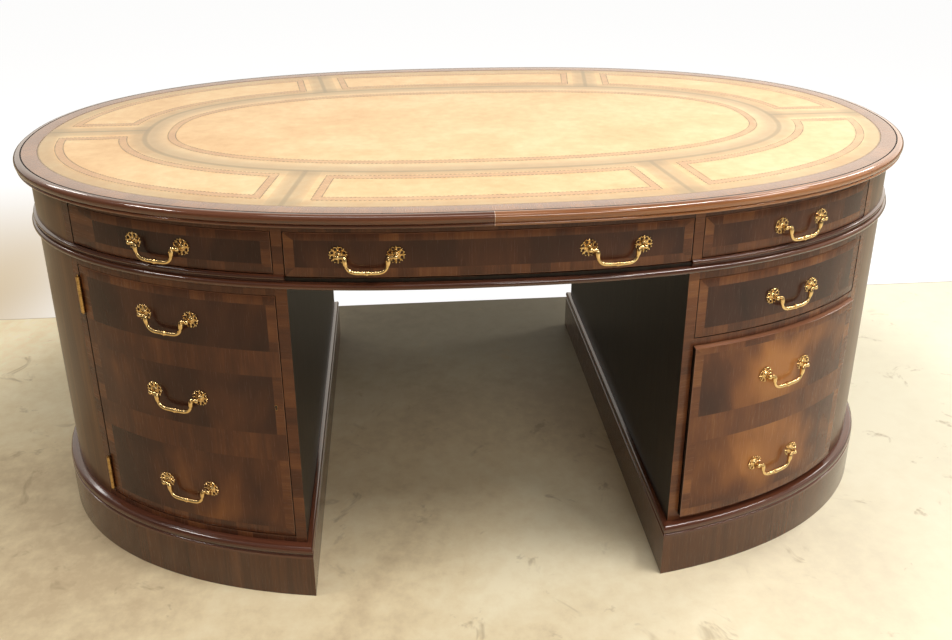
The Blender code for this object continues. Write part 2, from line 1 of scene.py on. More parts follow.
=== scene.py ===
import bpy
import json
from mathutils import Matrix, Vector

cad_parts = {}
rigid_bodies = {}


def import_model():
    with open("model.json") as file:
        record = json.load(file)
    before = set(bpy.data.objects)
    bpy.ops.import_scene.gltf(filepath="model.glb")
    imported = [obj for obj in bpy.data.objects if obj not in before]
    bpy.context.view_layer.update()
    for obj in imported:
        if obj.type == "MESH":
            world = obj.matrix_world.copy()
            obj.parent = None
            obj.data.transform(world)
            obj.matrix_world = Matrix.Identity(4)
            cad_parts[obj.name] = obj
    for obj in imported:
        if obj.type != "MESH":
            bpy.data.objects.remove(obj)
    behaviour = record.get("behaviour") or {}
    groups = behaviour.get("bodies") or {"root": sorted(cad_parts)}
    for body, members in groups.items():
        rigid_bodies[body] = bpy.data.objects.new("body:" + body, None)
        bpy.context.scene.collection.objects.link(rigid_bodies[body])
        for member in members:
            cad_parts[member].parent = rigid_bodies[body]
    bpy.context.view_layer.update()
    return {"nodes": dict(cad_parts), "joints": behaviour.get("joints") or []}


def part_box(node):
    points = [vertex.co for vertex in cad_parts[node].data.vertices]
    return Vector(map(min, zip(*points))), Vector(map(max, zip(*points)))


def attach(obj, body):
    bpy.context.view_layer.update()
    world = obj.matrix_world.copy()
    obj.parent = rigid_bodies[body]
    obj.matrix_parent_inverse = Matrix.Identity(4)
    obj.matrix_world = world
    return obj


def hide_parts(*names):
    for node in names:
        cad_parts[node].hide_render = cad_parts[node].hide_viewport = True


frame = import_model()

import functools
import json
import math

import bmesh
import bpy
import numpy as np
from mathutils import Matrix, Vector

# The desk's own lengths, in metres, as its solids have them.
HALF_LENGTH, HALF_DEPTH = 0.910, 0.550
LENGTH_POWER, DEPTH_POWER = 2.48, 2.15
BODY_INSET, PLINTH_INSET, LEATHER_INSET = 0.0245, 0.0065, 0.0435
PLINTH_HEIGHT = 0.110
CASE_BOTTOM, CASE_HEAD, CASE_TOP = 0.1103, 0.621, 0.6368
FILE_SILL, RAIL_BOTTOM, RAIL_TOP = 0.1223, 0.4905, 0.504
FRIEZE_BOTTOM, FRIEZE_SILL, FRIEZE_HEAD, FRIEZE_TOP = 0.6371, 0.6601, 0.738, 0.7516
SLAB_BOTTOM, DESK_TOP = 0.7519, 0.775
KNEE_HALF, CENTRE_EDGE, INNER_EDGE, OUTER_EDGE, STILE_EDGE = 0.3435, 0.3455, 0.3635, 0.7355, 0.7495
CENTRE_DROP = 0.004
FRONT_THICKNESS, FRONT_GAP, AJAR = 0.020, 0.0015, 0.012
EDGE_WIDTH = 0.0125
WAIST_HEIGHT, WAIST_OUT = 0.023, 0.010
PLINTH_MOULDING, PLINTH_LEDGE, PLINTH_BOARD = 0.024, 0.011, 0.022
HANDLE_CENTRES, STANDOFF = 0.095, 0.0135
BARREL_LENGTH = 0.080

# Sizes that only the looks need: a crossband's width, the eased edge of a front, the veneer's thickness,
# how far it turns into an opening, and the joint in the edge moulding. The last two cut the curves.
BAND, ARRIS, SKIN, REVEAL, JOINT = 0.017, 0.0009, 0.0004, 0.004, 0.0009
STATIONS, STEP = 300, 0.012

# The leather's pattern, as insets from the outline of the top. A drift adds to an inset at the two ends.
OUTER_RUN, INNER_RUN, RUN_WIDTH, RUN_DRIFT = 0.073, 0.186, 0.020, 0.006
RING_INSET, RING_DRIFT, OVAL_BAND, OVAL_DRIFT = 0.2265, 0.018, 0.272, 0.015
RING_HALF = 0.03
# Lines between the panels: the outer end of each, and its inner end. Then the space kept free beside them.
DIVIDERS = [(Vector(outer), Vector(inner)) for outer, inner in (
    ((-0.346, -0.483), (-0.318, -0.302)), ((0.346, -0.483), (0.318, -0.302)), ((0.868, 0.0), (0.665, 0.0)),
    ((0.346, 0.483), (0.318, 0.302)), ((-0.346, 0.483), (-0.318, 0.302)), ((-0.868, 0.0), (-0.665, 0.0)))]
END_GAP = 0.041

# Where the floor ends and the wall begins in the photograph.
WALL_LINE = 0.705


def signed_power(value, power):
    return np.sign(value) * np.abs(value) ** power


# Plan of the top, finely cut, with its outward normal and the length round it.
_angle = np.linspace(0, 2 * math.pi, 12001)
BASE_X = HALF_LENGTH * signed_power(np.cos(_angle), 2 / LENGTH_POWER)
BASE_Y = HALF_DEPTH * signed_power(np.sin(_angle), 2 / DEPTH_POWER)
_nx = LENGTH_POWER * signed_power(BASE_X / HALF_LENGTH, LENGTH_POWER - 1) / HALF_LENGTH
_ny = DEPTH_POWER * signed_power(BASE_Y / HALF_DEPTH, DEPTH_POWER - 1) / HALF_DEPTH
NORMAL_X, NORMAL_Y = _nx / np.hypot(_nx, _ny), _ny / np.hypot(_nx, _ny)
ARC = np.concatenate([[0], np.cumsum(np.hypot(np.diff(BASE_X), np.diff(BASE_Y)))])
ROUND = float(ARC[-1])
FRONT = BASE_Y < 0


def evenly(start, stop, count):
    return [start + (stop - start) * i / count for i in range(count + 1)]


def steps(start, stop, size):
    return evenly(start, stop, max(1, math.ceil(abs(stop - start) / size - 1e-6)))


def at_arc(s, inset):
    """Plan point a length s round the top, moved inwards along the normal."""
    s = s % ROUND
    x, y = np.interp(s, ARC, BASE_X), np.interp(s, ARC, BASE_Y)
    nx, ny = np.interp(s, ARC, NORMAL_X), np.interp(s, ARC, NORMAL_Y)
    size = math.hypot(nx, ny)
    return float(x - inset * nx / size), float(y - inset * ny / size)


def outline(s_from, s_to, count, inset, z, drift=0.0):
    """Points along part of an outline, whose inset may grow by a drift towards the ends."""
    line = []
    for s in evenly(s_from, s_to, count):
        nx = float(np.interp(s % ROUND, ARC, NORMAL_X))
        line.append((*at_arc(s, inset + drift * nx * nx), z))
    return line


def ring(inset, z, drift=0.0):
    """The whole outline at an inset."""
    return outline(0.0, ROUND, STATIONS, inset, z, drift)[:-1]


@functools.cache
def front_line(inset):
    """The front half of an inset outline, from left to right: x, y and length round the top."""
    x, y = (BASE_X - inset * NORMAL_X)[FRONT], (BASE_Y - inset * NORMAL_Y)[FRONT]
    order = np.argsort(x)
    return x[order], y[order], ARC[FRONT][order]


def face_y(x, inset=BODY_INSET):
    return float(np.interp(x, *front_line(inset)[:2]))


def face_arc(x, inset=BODY_INSET):
    return float(np.interp(x, *front_line(inset)[::2]))


MIDDLE_ARC = face_arc(0.0)


def along_face(x):
    """Length along the front from its middle, to the right."""
    return face_arc(x) - MIDDLE_ARC


def turns(count):
    """Cosine and sine of equal steps round a circle."""
    return [(math.cos(2 * math.pi * k / count), math.sin(2 * math.pi * k / count)) for k in range(count)]


def running(points):
    """Length along a line at each of its points."""
    lengths = [0.0]
    for a, b in zip(points, points[1:]):
        lengths.append(lengths[-1] + (Vector(b) - Vector(a)).length)
    return lengths


def spline_through(points, cuts):
    """A smooth line through points, which stay on it."""
    points = [Vector(p) for p in points]
    line = []
    for i in range(len(points) - 1):
        before = points[i - 1] if i else points[0] * 2 - points[1]
        after = points[i + 2] if i + 2 < len(points) else points[-1] * 2 - points[-2]
        a, b = points[i], points[i + 1]
        for k in range(cuts):
            t = k / cuts
            line.append(0.5 * (2 * a + (b - before) * t + (2 * before - 5 * a + 4 * b - after) * t * t
                               + (3 * a - before - 3 * b + after) * t ** 3))
    line.append(points[-1])
    return [tuple(p) for p in line]


def profile(parts):
    """A moulding's section as shares: each part is smooth, with an arris between parts."""
    line = []
    for part in parts:
        part = [(w / 100, h / 100, 0) for w, h in part]
        for p in spline_through(part, 5) if len(part) > 2 else part:
            spot = (min(max(p[0], 0.0), 1.0), min(max(p[1], 0.0), 1.0))
            if not line or math.dist(spot, line[-1]) > 1e-6:
                line.append(spot)
    return line


class Graph:
    """A short way to write the nodes of a material, or of the world."""

    def __init__(self, name, world=False):
        self.owner = (bpy.data.worlds if world else bpy.data.materials).new(name)
        self.owner.use_nodes = True
        self.tree = self.owner.node_tree
        self.tree.nodes.clear()
        self.out = self.add("ShaderNodeOutputWorld" if world else "ShaderNodeOutputMaterial")

    def put(self, socket, value):
        if isinstance(value, bpy.types.NodeSocket):
            self.tree.links.new(value, socket)
        elif value is not None:
            if socket.type == "RGBA" and len(value) == 3:
                value = (*value, 1.0)
            socket.default_value = value

    def add(self, kind, *values, **settings):
        """A node with its settings; the values go into its first inputs."""
        node = self.tree.nodes.new(kind)
        for key, value in settings.items():
            setattr(node, key, value)
        for socket, value in zip(node.inputs, values):
            self.put(socket, value)
        return node

    def fill(self, node, **values):
        """Values for a node's inputs by name, with an underscore for each space."""
        for key, value in values.items():
            self.put(node.inputs[key.replace("_", " ")], value)
        return node

    def math(self, operation, *values):
        return self.add("ShaderNodeMath", *values, operation=operation).outputs[0]

    plus = functools.partialmethod(math, "ADD")
    minus = functools.partialmethod(math, "SUBTRACT")
    times = functools.partialmethod(math, "MULTIPLY")
    scaled = functools.partialmethod(math, "MULTIPLY_ADD")
    size = functools.partialmethod(math, "ABSOLUTE")

    def away(self, value, middle):
        return self.size(self.minus(value, middle))

    def span(self, value, low, high, to_low=0.0, to_high=1.0):
        """The value's way from low to high, eased at both ends."""
        return self.add("ShaderNodeMapRange", value, low, high, to_low, to_high,
                        interpolation_type="SMOOTHSTEP").outputs[0]

    def vector(self, x, y, z):
        return self.add("ShaderNodeCombineXYZ", x, y, z).outputs[0]

    def split(self, vector):
        return self.add("ShaderNodeSeparateXYZ", vector).outputs

    def place(self):
        return self.add("ShaderNodeTexCoord").outputs["Object"]

    def attribute(self, name):
        return self.add("ShaderNodeAttribute", attribute_name=name)

    def white(self, vector):
        return self.add("ShaderNodeTexWhiteNoise", vector, noise_dimensions="3D").outputs["Value"]

    def noise(self, vector, scale=1.0, detail=2.0, roughness=0.5, distortion=0.0):
        return self.fill(self.add("ShaderNodeTexNoise"), Vector=vector, Scale=scale, Detail=detail,
                         Roughness=roughness, Distortion=distortion).outputs[0]

    def streaks(self, along, a, across, b, sheet, *settings):
        """Noise in a sheet of veneer, a per metre along the grain and b across it."""
        return self.noise(self.vector(self.times(along, a), self.times(across, b), sheet), 1.0, *settings)

    def ramp(self, factor, stops):
        """The stops' colours are in thousandths."""
        node = self.add("ShaderNodeValToRGB", factor)
        points = node.color_ramp.elements
        while len(points) < len(stops):
            points.new(0.5)
        for point, (place, colour) in zip(points, stops):
            point.position = place
            point.color = (*(part / 1000 for part in colour), 1.0)
        return node.outputs[0]

    def mix(self, factor, a, b):
        return self.fill(self.add("ShaderNodeMix", data_type="RGBA"), Factor=factor, A=a, B=b).outputs["Result"]

    def bump(self, height, strength, distance):
        return self.fill(self.add("ShaderNodeBump"), Height=height, Strength=strength, Distance=distance).outputs[0]

    def shade(self, colour, roughness, normal=None, coat=0.0, coat_roughness=0.1, specular=0.5, metallic=0.0):
        node = self.fill(self.add("ShaderNodeBsdfPrincipled"), Base_Color=colour, Roughness=roughness,
                         Metallic=metallic, Coat_Weight=coat, Coat_Roughness=coat_roughness,
                         Specular_IOR_Level=specular, Normal=normal)
        self.put(self.out.inputs[0], node.outputs[0])
        return self.owner


def grain_parts(g):
    """The length along the grain, the length across it, the sheet's number and its tone."""
    return (*g.split(g.attribute("grain").outputs["Vector"]), g.attribute("tone").outputs["Fac"])


def polish(g, level, tone, fibre, grit, stops, roughness=0.26, coat=0.12, coat_roughness=0.12, specular=0.26):
    """Polished veneer, whose level takes the sheet's tone and the fibres and then gives the colour."""
    level = g.scaled(g.minus(fibre, 0.5), grit, g.plus(level, g.scaled(tone[0], *tone[1:])))
    rough = g.scaled(fibre, 0.10, roughness - 0.05)
    return g.shade(g.ramp(level, stops), rough, g.bump(fibre, 0.05, 0.0004), coat, coat_roughness, specular)


def flame_veneer():
    """Crotch mahogany: dark, with soft golden clouds round the sheet's middle and faint plumes."""
    g = Graph("flame_veneer")
    along, across, sheet, tone = grain_parts(g)
    sway = g.minus(g.streaks(along, 9.0, across, 9.0, sheet, 3.0), 0.5)
    spread = g.scaled(sway, 0.05, across)
    away = g.math("SQRT", g.scaled(spread, spread, 0.0006))
    rise = g.minus(g.times(along, 7.0), g.times(away, 15.0))
    plume = g.noise(g.vector(rise, g.times(spread, 14.0), sheet), 1.1, 2.0, 0.45)
    cloud = g.streaks(along, 8.0, across, 7.0, g.plus(sheet, 11.3), 1.6, 0.38, 0.3)
    fibre = g.streaks(along, 26.0, across, 620.0, sheet, 3.0, 0.6)
    reach = g.math("SQRT", g.plus(g.times(spread, spread), g.times(along, along)))
    heart = g.times(g.span(reach, 0.155, 0.03, -0.10, 0.20), g.scaled(tone, 1.9, -0.62))
    level = g.plus(g.plus(g.times(plume, 0.32), g.scaled(cloud, 0.52, 0.08)), heart)
    return polish(g, level, (tone, 0.34, -0.17), fibre, 0.10,
                  ((0.28, (26, 9.5, 7)), (0.44, (50, 17, 10.5)), (0.56, (96, 33, 15.5)), (0.68, (210, 76, 24.5)),
                   (0.84, (380, 155, 46))))


def cross_veneer(name, stops, bricks, *finish):
    """Crossbanding: short sheets side by side, each lighter or darker by up to half of bricks."""
    g = Graph(name)
    along, across, sheet, tone = grain_parts(g)
    wander = g.times(g.noise(g.vector(g.times(across, 7.0), sheet, 0.0), 1.0, 1.0), 1.6)
    number = g.math("FLOOR", g.scaled(across, 30.0, wander))
    block = g.white(g.vector(number, sheet, 0.0))
    streak = g.streaks(along, 7.0, across, 130.0, sheet, 3.0, 0.6)
    fibre = g.streaks(along, 30.0, across, 700.0, sheet, 2.0, 0.6)
    cloud = g.streaks(along, 14.0, across, 22.0, g.plus(sheet, 5.7), 2.0)
    level = g.plus(g.scaled(block, bricks, -0.5 * bricks), g.times(streak, 0.30))
    return polish(g, g.scaled(cloud, 0.34, level), (tone, 0.46, -0.08), fibre, 0.09, stops, *finish)


def plain_veneer(name, dark, middle, light, *finish):
    """Straight-grained mahogany, with slow streaks along the grain."""
    g = Graph(name)
    along, across, sheet, tone = grain_parts(g)
    slow = g.streaks(along, 1.6, across, 38.0, sheet, 3.0, 0.6, 0.3)
    ribbon = g.streaks(along, 4.0, across, 170.0, sheet, 2.0, 0.6)
    fibre = g.streaks(along, 24.0, across, 800.0, sheet, 2.0, 0.6)
    level = g.plus(g.times(slow, 0.62), g.times(ribbon, 0.38))
    return polish(g, level, (tone, 0.36, -0.18), fibre, 0.14, ((0.28, dark), (0.50, middle), (0.74, light)), *finish)


def solid_wood(name, stretch, dark, middle, light, roughness, coat, specular=0.5):
    """Wood for the kept solids and the backs of fronts, whose grain runs the way the stretch is smallest."""
    g = Graph(name)
    place = g.fill(g.add("ShaderNodeMapping"), Vector=g.place(), Scale=stretch).outputs[0]
    slow = g.noise(place, 1.0, 4.0, 0.6, 0.4)
    fine = g.noise(place, 9.0, 3.0, 0.6)
    level = g.scaled(fine, 0.35, g.times(slow, 0.65))
    colour = g.ramp(level, ((0.32, dark), (0.50, middle), (0.70, light)))
    rough = g.scaled(fine, 0.14, roughness - 0.07)
    return g.shade(colour, rough, g.bump(fine, 0.12, 0.0006), coat, 0.15, specular)


def hide_colour(g):
    """Waxed hide: warm yellow, clouded with tan, with darker pores."""
    place = g.place()
    cloud = g.noise(place, 7.0, 4.0, 0.55, 0.5)
    fleck = g.noise(place, 46.0, 3.0, 0.6)
    pore = g.noise(place, 620.0, 2.0, 0.6)
    level = g.plus(g.times(cloud, 0.60), g.times(fleck, 0.40))
    colour = g.ramp(level, ((0.32, (730, 452, 215)), (0.50, (820, 552, 282)), (0.68, (870, 660, 375))))
    return g.mix(g.span(pore, 0.60, 0.78, 0.0, 0.22), colour, (0.50, 0.30, 0.13)), pore


AGED = (0.32, 0.240, 0.145)
TOOLED = (0.56, 0.335, 0.195)


def hide_leather(name, line=False):
    """The skin, aged along its rim, along the ring round the oval, and along a line between panels."""
    g = Graph(name)
    colour, pore = hide_colour(g)
    inset = g.attribute("ring").outputs["Fac"]
    ring_away, rim_away = g.away(inset, RING_INSET), g.away(inset, LEATHER_INSET)
    between = g.times(g.span(inset, RING_INSET, RING_INSET + 0.01),
                      g.span(inset, OVAL_BAND + 0.010, OVAL_BAND - 0.002))
    colour = g.mix(g.times(between, 0.30), colour, (0.62, 0.50, 0.33))
    for away, low, high, most in ((ring_away, 0.044, 0.012, 0.44), (ring_away, 0.0075, 0.002, 0.62),
                                  (rim_away, 0.048, 0.014, 0.46)):
        colour = g.mix(g.span(away, low, high, 0.0, most), colour, AGED)
    if line:
        side = g.size(g.split(g.attribute("grain").outputs["Vector"])[1])
        ends = g.span(inset, RING_INSET + 0.006, RING_INSET - 0.004)
        for low, high, most in ((0.044, 0.012, 0.44), (0.0070, 0.002, 0.62)):
            colour = g.mix(g.times(g.span(side, low, high, 0.0, most), ends), colour, AGED)
    colour = g.mix(g.span(rim_away, 0.004, 0.001, 0.0, 0.55), colour, (0.10, 0.07, 0.05))
    return g.shade(colour, g.scaled(pore, 0.20, 0.34), g.bump(pore, 0.18, 0.0006), 0.10, 0.35)


def tooled_leather():
    """A tooled border: two rows of scallops with a chain of leaves between, burnt darker."""
    g = Graph("tooled_leather")
    colour, pore = hide_colour(g)
    along, across, sheet, _ = grain_parts(g)
    side = g.size(g.scaled(across, 2.0, -1.0))
    edge = g.scaled(g.math("PINGPONG", along, 0.0040), 60.0, 0.74)
    ground = g.span(g.minus(edge, side), 0.0, 0.05)
    leaf = g.math("PINGPONG", along, 0.0065)
    chain = g.away(side, g.times(g.minus(0.0065, leaf), 70.0))
    pale = g.math("MAXIMUM", g.span(chain, 0.10, 0.03), g.span(g.away(side, 0.62), 0.07, 0.03))
    worn = g.noise(g.vector(g.times(along, 30.0), across, sheet), 1.0, 2.0)
    rows = g.span(g.away(side, 0.79), 0.17, 0.09)
    stamped = g.mix(g.times(pale, 0.40), TOOLED, (0.80, 0.56, 0.28))
    stamped = g.mix(g.times(rows, 0.96), stamped, (0.10, 0.050, 0.035))
    colour = g.mix(g.times(ground, g.span(worn, 0.30, 0.62, 0.60, 0.90)), colour, stamped)
    height = g.scaled(pale, 0.7, g.times(ground, -0.6))
    return g.shade(colour, g.scaled(pore, 0.18, 0.36), g.bump(height, 0.25, 0.0008), 0.10, 0.35)


def old_brass(name, base, dull, roughness):
    """Polished brass that has gone brown in patches."""
    g = Graph(name)
    place = g.place()
    patch = g.noise(place, 90.0, 4.0, 0.6)
    fine = g.noise(place, 900.0, 2.0, 0.6)
    colour = g.mix(g.span(patch, 0.48, 0.70, 0.0, 0.65), base, dull)
    return g.shade(colour, g.scaled(patch, 0.22, roughness - 0.11), g.bump(fine, 0.10, 0.0003), metallic=1.0)


def shadow_gap():
    """Painted shade in a groove or hole: near black, with a faint speckle."""
    g = Graph("shadow_gap")
    speck = g.noise(g.place(), 300.0, 2.0)
    return g.shade(g.mix(speck, (0.010, 0.007, 0.006), (0.022, 0.014, 0.010)), 0.7)


# After a veneer's colours come its roughness, its coat, the coat's roughness and its shine, and a crossband has
# its bricks before them. A solid wood has no number for its coat's roughness.
FLAME = flame_veneer()
BANDING = ((0.20, (46, 16.5, 10)), (0.42, (86, 30, 15.2)), (0.60, (150, 54, 22)), (0.80, (250, 100, 36)),
           (1.0, (360, 165, 62)))
CROSS = cross_veneer("cross_veneer", BANDING, 0.26)
WIDE = cross_veneer("wide_cross_veneer", BANDING, 0.07)
# The border's stops are far paler than the other crossbanding's: the veneer's colour with a painted sheen of glare on
# the polish.
SHEEN_BORDER = cross_veneer("border_veneer_painted_sheen", ((0.20, (110, 40, 17)), (0.42, (200, 78, 30)), (0.60, (300, 126, 48)),
                                        (0.80, (400, 185, 75)), (1.0, (500, 250, 105))), 0.10, 0.26, 0.50, 0.12, 0.5)
# The eased edges of the fronts take a paler, glossier veneer than the crossbanding: a painted highlight along each
# arris.
ARRIS_HIGHLIGHT_WOOD = plain_veneer("arris_highlight_mahogany", (120, 45, 22), (200, 80, 40), (300, 130, 65), 0.16, 0.8, 0.08, 0.5)
CURVED = plain_veneer("end_veneer", (55, 22.5, 10), (110, 47, 19), (190, 88, 35), 0.30, 0.14, 0.14, 0.20)
FOOT = plain_veneer("plinth_veneer", (46, 16.5, 8.5), (86, 32, 14.5), (150, 58, 24), 0.26, 0.35, 0.12, 0.30)
REED = plain_veneer("moulding_mahogany", (40, 12.5, 7), (86, 27.5, 13), (155, 52, 22), 0.14, 0.6, 0.05, 0.45)
NOSE = plain_veneer("edge_mahogany", (75, 23, 12), (155, 50, 20), (330, 128, 42), 0.14, 0.7, 0.04, 0.45)
JOINT_WOOD = plain_veneer("joint_filler", (400, 280, 200), (550, 400, 300), (680, 520, 420), 0.24, 0.20, 0.12, 0.30)
DARK = plain_veneer("plinth_moulding", (48, 15, 8.5), (98, 31, 16), (160, 54, 26), 0.16, 0.5, 0.06, 0.45)
CARCASS = solid_wood("carcass_mahogany", (60, 60, 3), (8, 5.8, 4.5), (14, 9.5, 7.2), (28, 17, 11.5), 0.36, 0.04, 0.18)
OAK = solid_wood("drawer_oak", (40, 5, 60), (300, 190, 100), (440, 300, 165), (560, 400, 240), 0.55, 0.0)
LINING = solid_wood("door_lining", (60, 60, 4), (200, 115, 60), (300, 180, 95), (400, 260, 145), 0.50, 0.0)
HIDE = hide_leather("hide_leather")
TOOLING = tooled_leather()
LINED_HIDE = hide_leather("lined_hide_leather", line=True)
BRASS = old_brass("handle_brass", (0.80, 0.57, 0.27), (0.32, 0.17, 0.065), 0.17)
HINGE_BRASS = old_brass("hinge_brass", (0.56, 0.36, 0.14), (0.20, 0.11, 0.045), 0.30)
# Near-black painted shade for the grooves and the keyhole.
GAP_SHADE = shadow_gap()


def added(name, data):
    """A new object in the scene."""
    made = bpy.data.objects.new(name, data)
    bpy.context.scene.collection.objects.link(made)
    return made


def show(name, mesh, body, slot, replaced=(), place=None):
    """Put a piece in the scene, on its body."""
    made = added(name, mesh)
    if place is not None:
        made.matrix_world = place
    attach(made, body)
    if replaced:
        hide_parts(*replaced)


class Skin:
    """Faces that each have a material, a place in a sheet of veneer and a tone."""

    def __init__(self):
        self.points, self.faces, self.slots, self.grain, self.tone, self.materials = [], [], [], [], [], []

    def face(self, corners, material, grain=None, tone=0.5, flip=False):
        grain = grain or [(0, 0, 0)] * len(corners)
        if flip:
            corners, grain = corners[::-1], grain[::-1]
        first = len(self.points)
        self.points += [tuple(c) for c in corners]
        self.faces.append(tuple(range(first, first + len(corners))))
        if material not in self.materials:
            self.materials.append(material)
        self.slots.append(self.materials.index(material))
        self.grain += [tuple(v) for v in grain]
        self.tone += [tone] * len(corners)

    def made(self, name, sharp=32.0):
        mesh = bpy.data.meshes.new(name)
        mesh.from_pydata(self.points, [], self.faces)
        for material in self.materials:
            mesh.materials.append(material)
        mesh.polygons.foreach_set("material_index", self.slots)
        grain = mesh.attributes.new("grain", "FLOAT_VECTOR", "CORNER")
        grain.data.foreach_set("vector", np.array(self.grain, np.float32).ravel())
        tone = mesh.attributes.new("tone", "FLOAT", "CORNER")
        tone.data.foreach_set("value", self.tone)
        shape = bmesh.new()
        shape.from_mesh(mesh)
        bmesh.ops.remove_doubles(shape, verts=shape.verts, dist=1e-6)
        shape.to_mesh(mesh)
        shape.free()
        mesh.polygons.foreach_set("use_smooth", [True] * len(mesh.polygons))
        mesh.set_sharp_from_angle(angle=math.radians(sharp))
        return mesh

    def show(self, name, *where):
        show(name, self.made(name), *where)


HALF_TURN = Matrix.Rotation(math.pi, 4, "Z")
SIDES = (("front", Matrix.Identity(4)), ("back", HALF_TURN))
ENDS = (("left", Matrix.Identity(4)), ("right", HALF_TURN))


def grained(run, rise, number, upright=False):
    """Grain of a quad in a sheet of veneer: it runs along the first two lengths, or else the last two."""
    spots = ((run[0], rise[0]), (run[1], rise[0]), (run[1], rise[1]), (run[0], rise[1]))
    return [(b, a, number) if upright else (a, b, number) for a, b in spots]


def loft(skin, loops, material, closed=True, grain_along=True, sheet=1.0, flip=False):
    """Quads between neighbouring loops; the grain runs along the loops, or else from one to the next."""
    reach, lengths = running([loop[0] for loop in loops]), running(loops[0] + loops[0][:1])
    count = len(loops[0])
    for r, (near, far) in enumerate(zip(loops, loops[1:])):
        for i in range(count if closed else count - 1):
            j = (i + 1) % count
            grain = grained(lengths[i:i + 2], reach[r:r + 2], sheet, not grain_along)
            skin.face([near[i], near[j], far[j], far[i]], material, grain, flip=flip)


def cap(skin, loop, material, flip=False):
    skin.face(loop, material, [(p[0], p[1], 1.0) for p in loop], flip=flip)


# Sections of the mouldings, in hundredths of their width and height.
EDGE_PARTS = (
    ((100, 0), (42, 0)),
    ((42, 0), (26, 4), (20, 14), (25, 22), (36, 25.5)),
    ((36, 25.5), (30, 30)),
    ((30, 30), (10, 39), (1, 54), (0, 66), (5, 78), (20, 89), (42, 96.5), (66, 100)),
    ((66, 100), (100, 100)),
)
LOW_REED = (
    ((0, 0), (55, 0)),
    ((55, 0), (84, 4), (100, 20), (90, 37), (62, 46), (30, 48)),
    ((30, 48), (0, 50)),
)
HIGH_REED = (
    ((0, 50), (28, 50)),
    ((28, 50), (22, 58), (30, 66)),
    ((30, 66), (52, 69), (62, 79), (55, 91), (34, 96)),
    ((34, 96), (0, 100)),
)
PLINTH_PARTS = (
    ((100, 0), (100, 20)),
    ((100, 20), (90, 23), (84, 30), (88, 37)),
    ((88, 37), (96, 42), (100, 56), (97, 72), (86, 86), (66, 95), (28, 100)),
    ((28, 100), (0, 100)),
)


def make_top():
    """The edge moulding, with a joint at the front's and the back's middle, and the slab with its border."""
    joints = [ROUND * quarter + d for quarter in (0.25, 0.75) for d in (-JOINT / 2, JOINT / 2)]
    stations = sorted([ROUND * i / STATIONS for i in range(STATIONS)] + joints)

    def edge_ring(inset, z):
        return [(*at_arc(s, inset), z) for s in stations]

    edge = Skin()
    loops = [edge_ring(w * EDGE_WIDTH, SLAB_BOTTOM + h * (DESK_TOP - SLAB_BOTTOM)) for w, h in profile(EDGE_PARTS)]
    loft(edge, loops, NOSE, sheet=3.0)
    edge.materials.append(JOINT_WOOD)
    # Painted light: the right half of the edge moulding gets a far higher tone than the left, as if lit from the
    # right.
    lit_right_tone, shaded_left_tone = 1.0, 0.24
    for k, face in enumerate(edge.faces):
        middle = sum(edge.points[i][0] for i in face) / len(face)
        if abs(middle) < JOINT / 2:
            edge.slots[k] = edge.materials.index(JOINT_WOOD)
        for i in face:
            edge.tone[i] = lit_right_tone if middle > 0 else shaded_left_tone
    # The groove inside the moulding is near black: painted shade.
    loft(edge, [loops[-1], edge_ring(EDGE_WIDTH, DESK_TOP - 0.003)], GAP_SHADE)
    edge.show("edge_nosing", "carcass", "mahogany_edge", ["edge_moulding"])

    slab = Skin()
    rim, dip, well = EDGE_WIDTH + 0.0002, DESK_TOP - 0.0012, DESK_TOP - 0.0016
    # The dip inside the edge moulding is near black: painted shade. The border takes the paler veneer with its
    # painted sheen.
    rows = ((rim, SLAB_BOTTOM, CARCASS), (rim, dip, GAP_SHADE), (rim + 0.0019, dip, GAP_SHADE),
            (rim + 0.0025, DESK_TOP, SHEEN_BORDER), (LEATHER_INSET - 0.0012, DESK_TOP, SHEEN_BORDER),
            (LEATHER_INSET - 0.0002, DESK_TOP - 0.0002, SHEEN_BORDER), (LEATHER_INSET, well, CROSS))
    for (*near, material), (*far, _) in zip(rows, rows[1:]):
        loft(slab, [ring(*near), ring(*far)], material, grain_along=False, sheet=5.0)
    cap(slab, ring(LEATHER_INSET, well), CARCASS)
    cap(slab, ring(rim, SLAB_BOTTOM), CARCASS, flip=True)
    slab.show("top_slab", "carcass", "mahogany", ["top_board"])


def ring_attribute(mesh, values):
    """Tells the leather how far each point lies in from the outline."""
    mesh.attributes.new("ring", "FLOAT", "POINT").data.foreach_set("value", values)


def make_leather():
    edge, level = LEATHER_INSET + 0.0003, DESK_TOP - 0.00045
    rows = ((edge, DESK_TOP - 0.0013, 0.0), (edge, level, 0.0), (0.070, level, 0.0),
            (RING_INSET - RING_HALF, level, RING_DRIFT), (RING_INSET + RING_HALF, level, RING_DRIFT),
            (OVAL_BAND + RING_HALF, level, OVAL_DRIFT))
    points, faces, values = [], [], []
    for row in rows:
        points += ring(*row)
        values += [row[0]] * STATIONS
    for a in range(0, (len(rows) - 1) * STATIONS, STATIONS):
        for i in range(STATIONS):
            j, b = (i + 1) % STATIONS, a + STATIONS
            faces.append((a + i, a + j, b + j, b + i))
    faces.append(tuple(range(len(points) - STATIONS, len(points))))
    mesh = bpy.data.meshes.new("leather_skin")
    mesh.from_pydata(points, [], faces)
    ring_attribute(mesh, values)
    mesh.materials.append(HIDE)
    show("leather_skin", mesh, "carcass", "leather", ["leather_inset"])


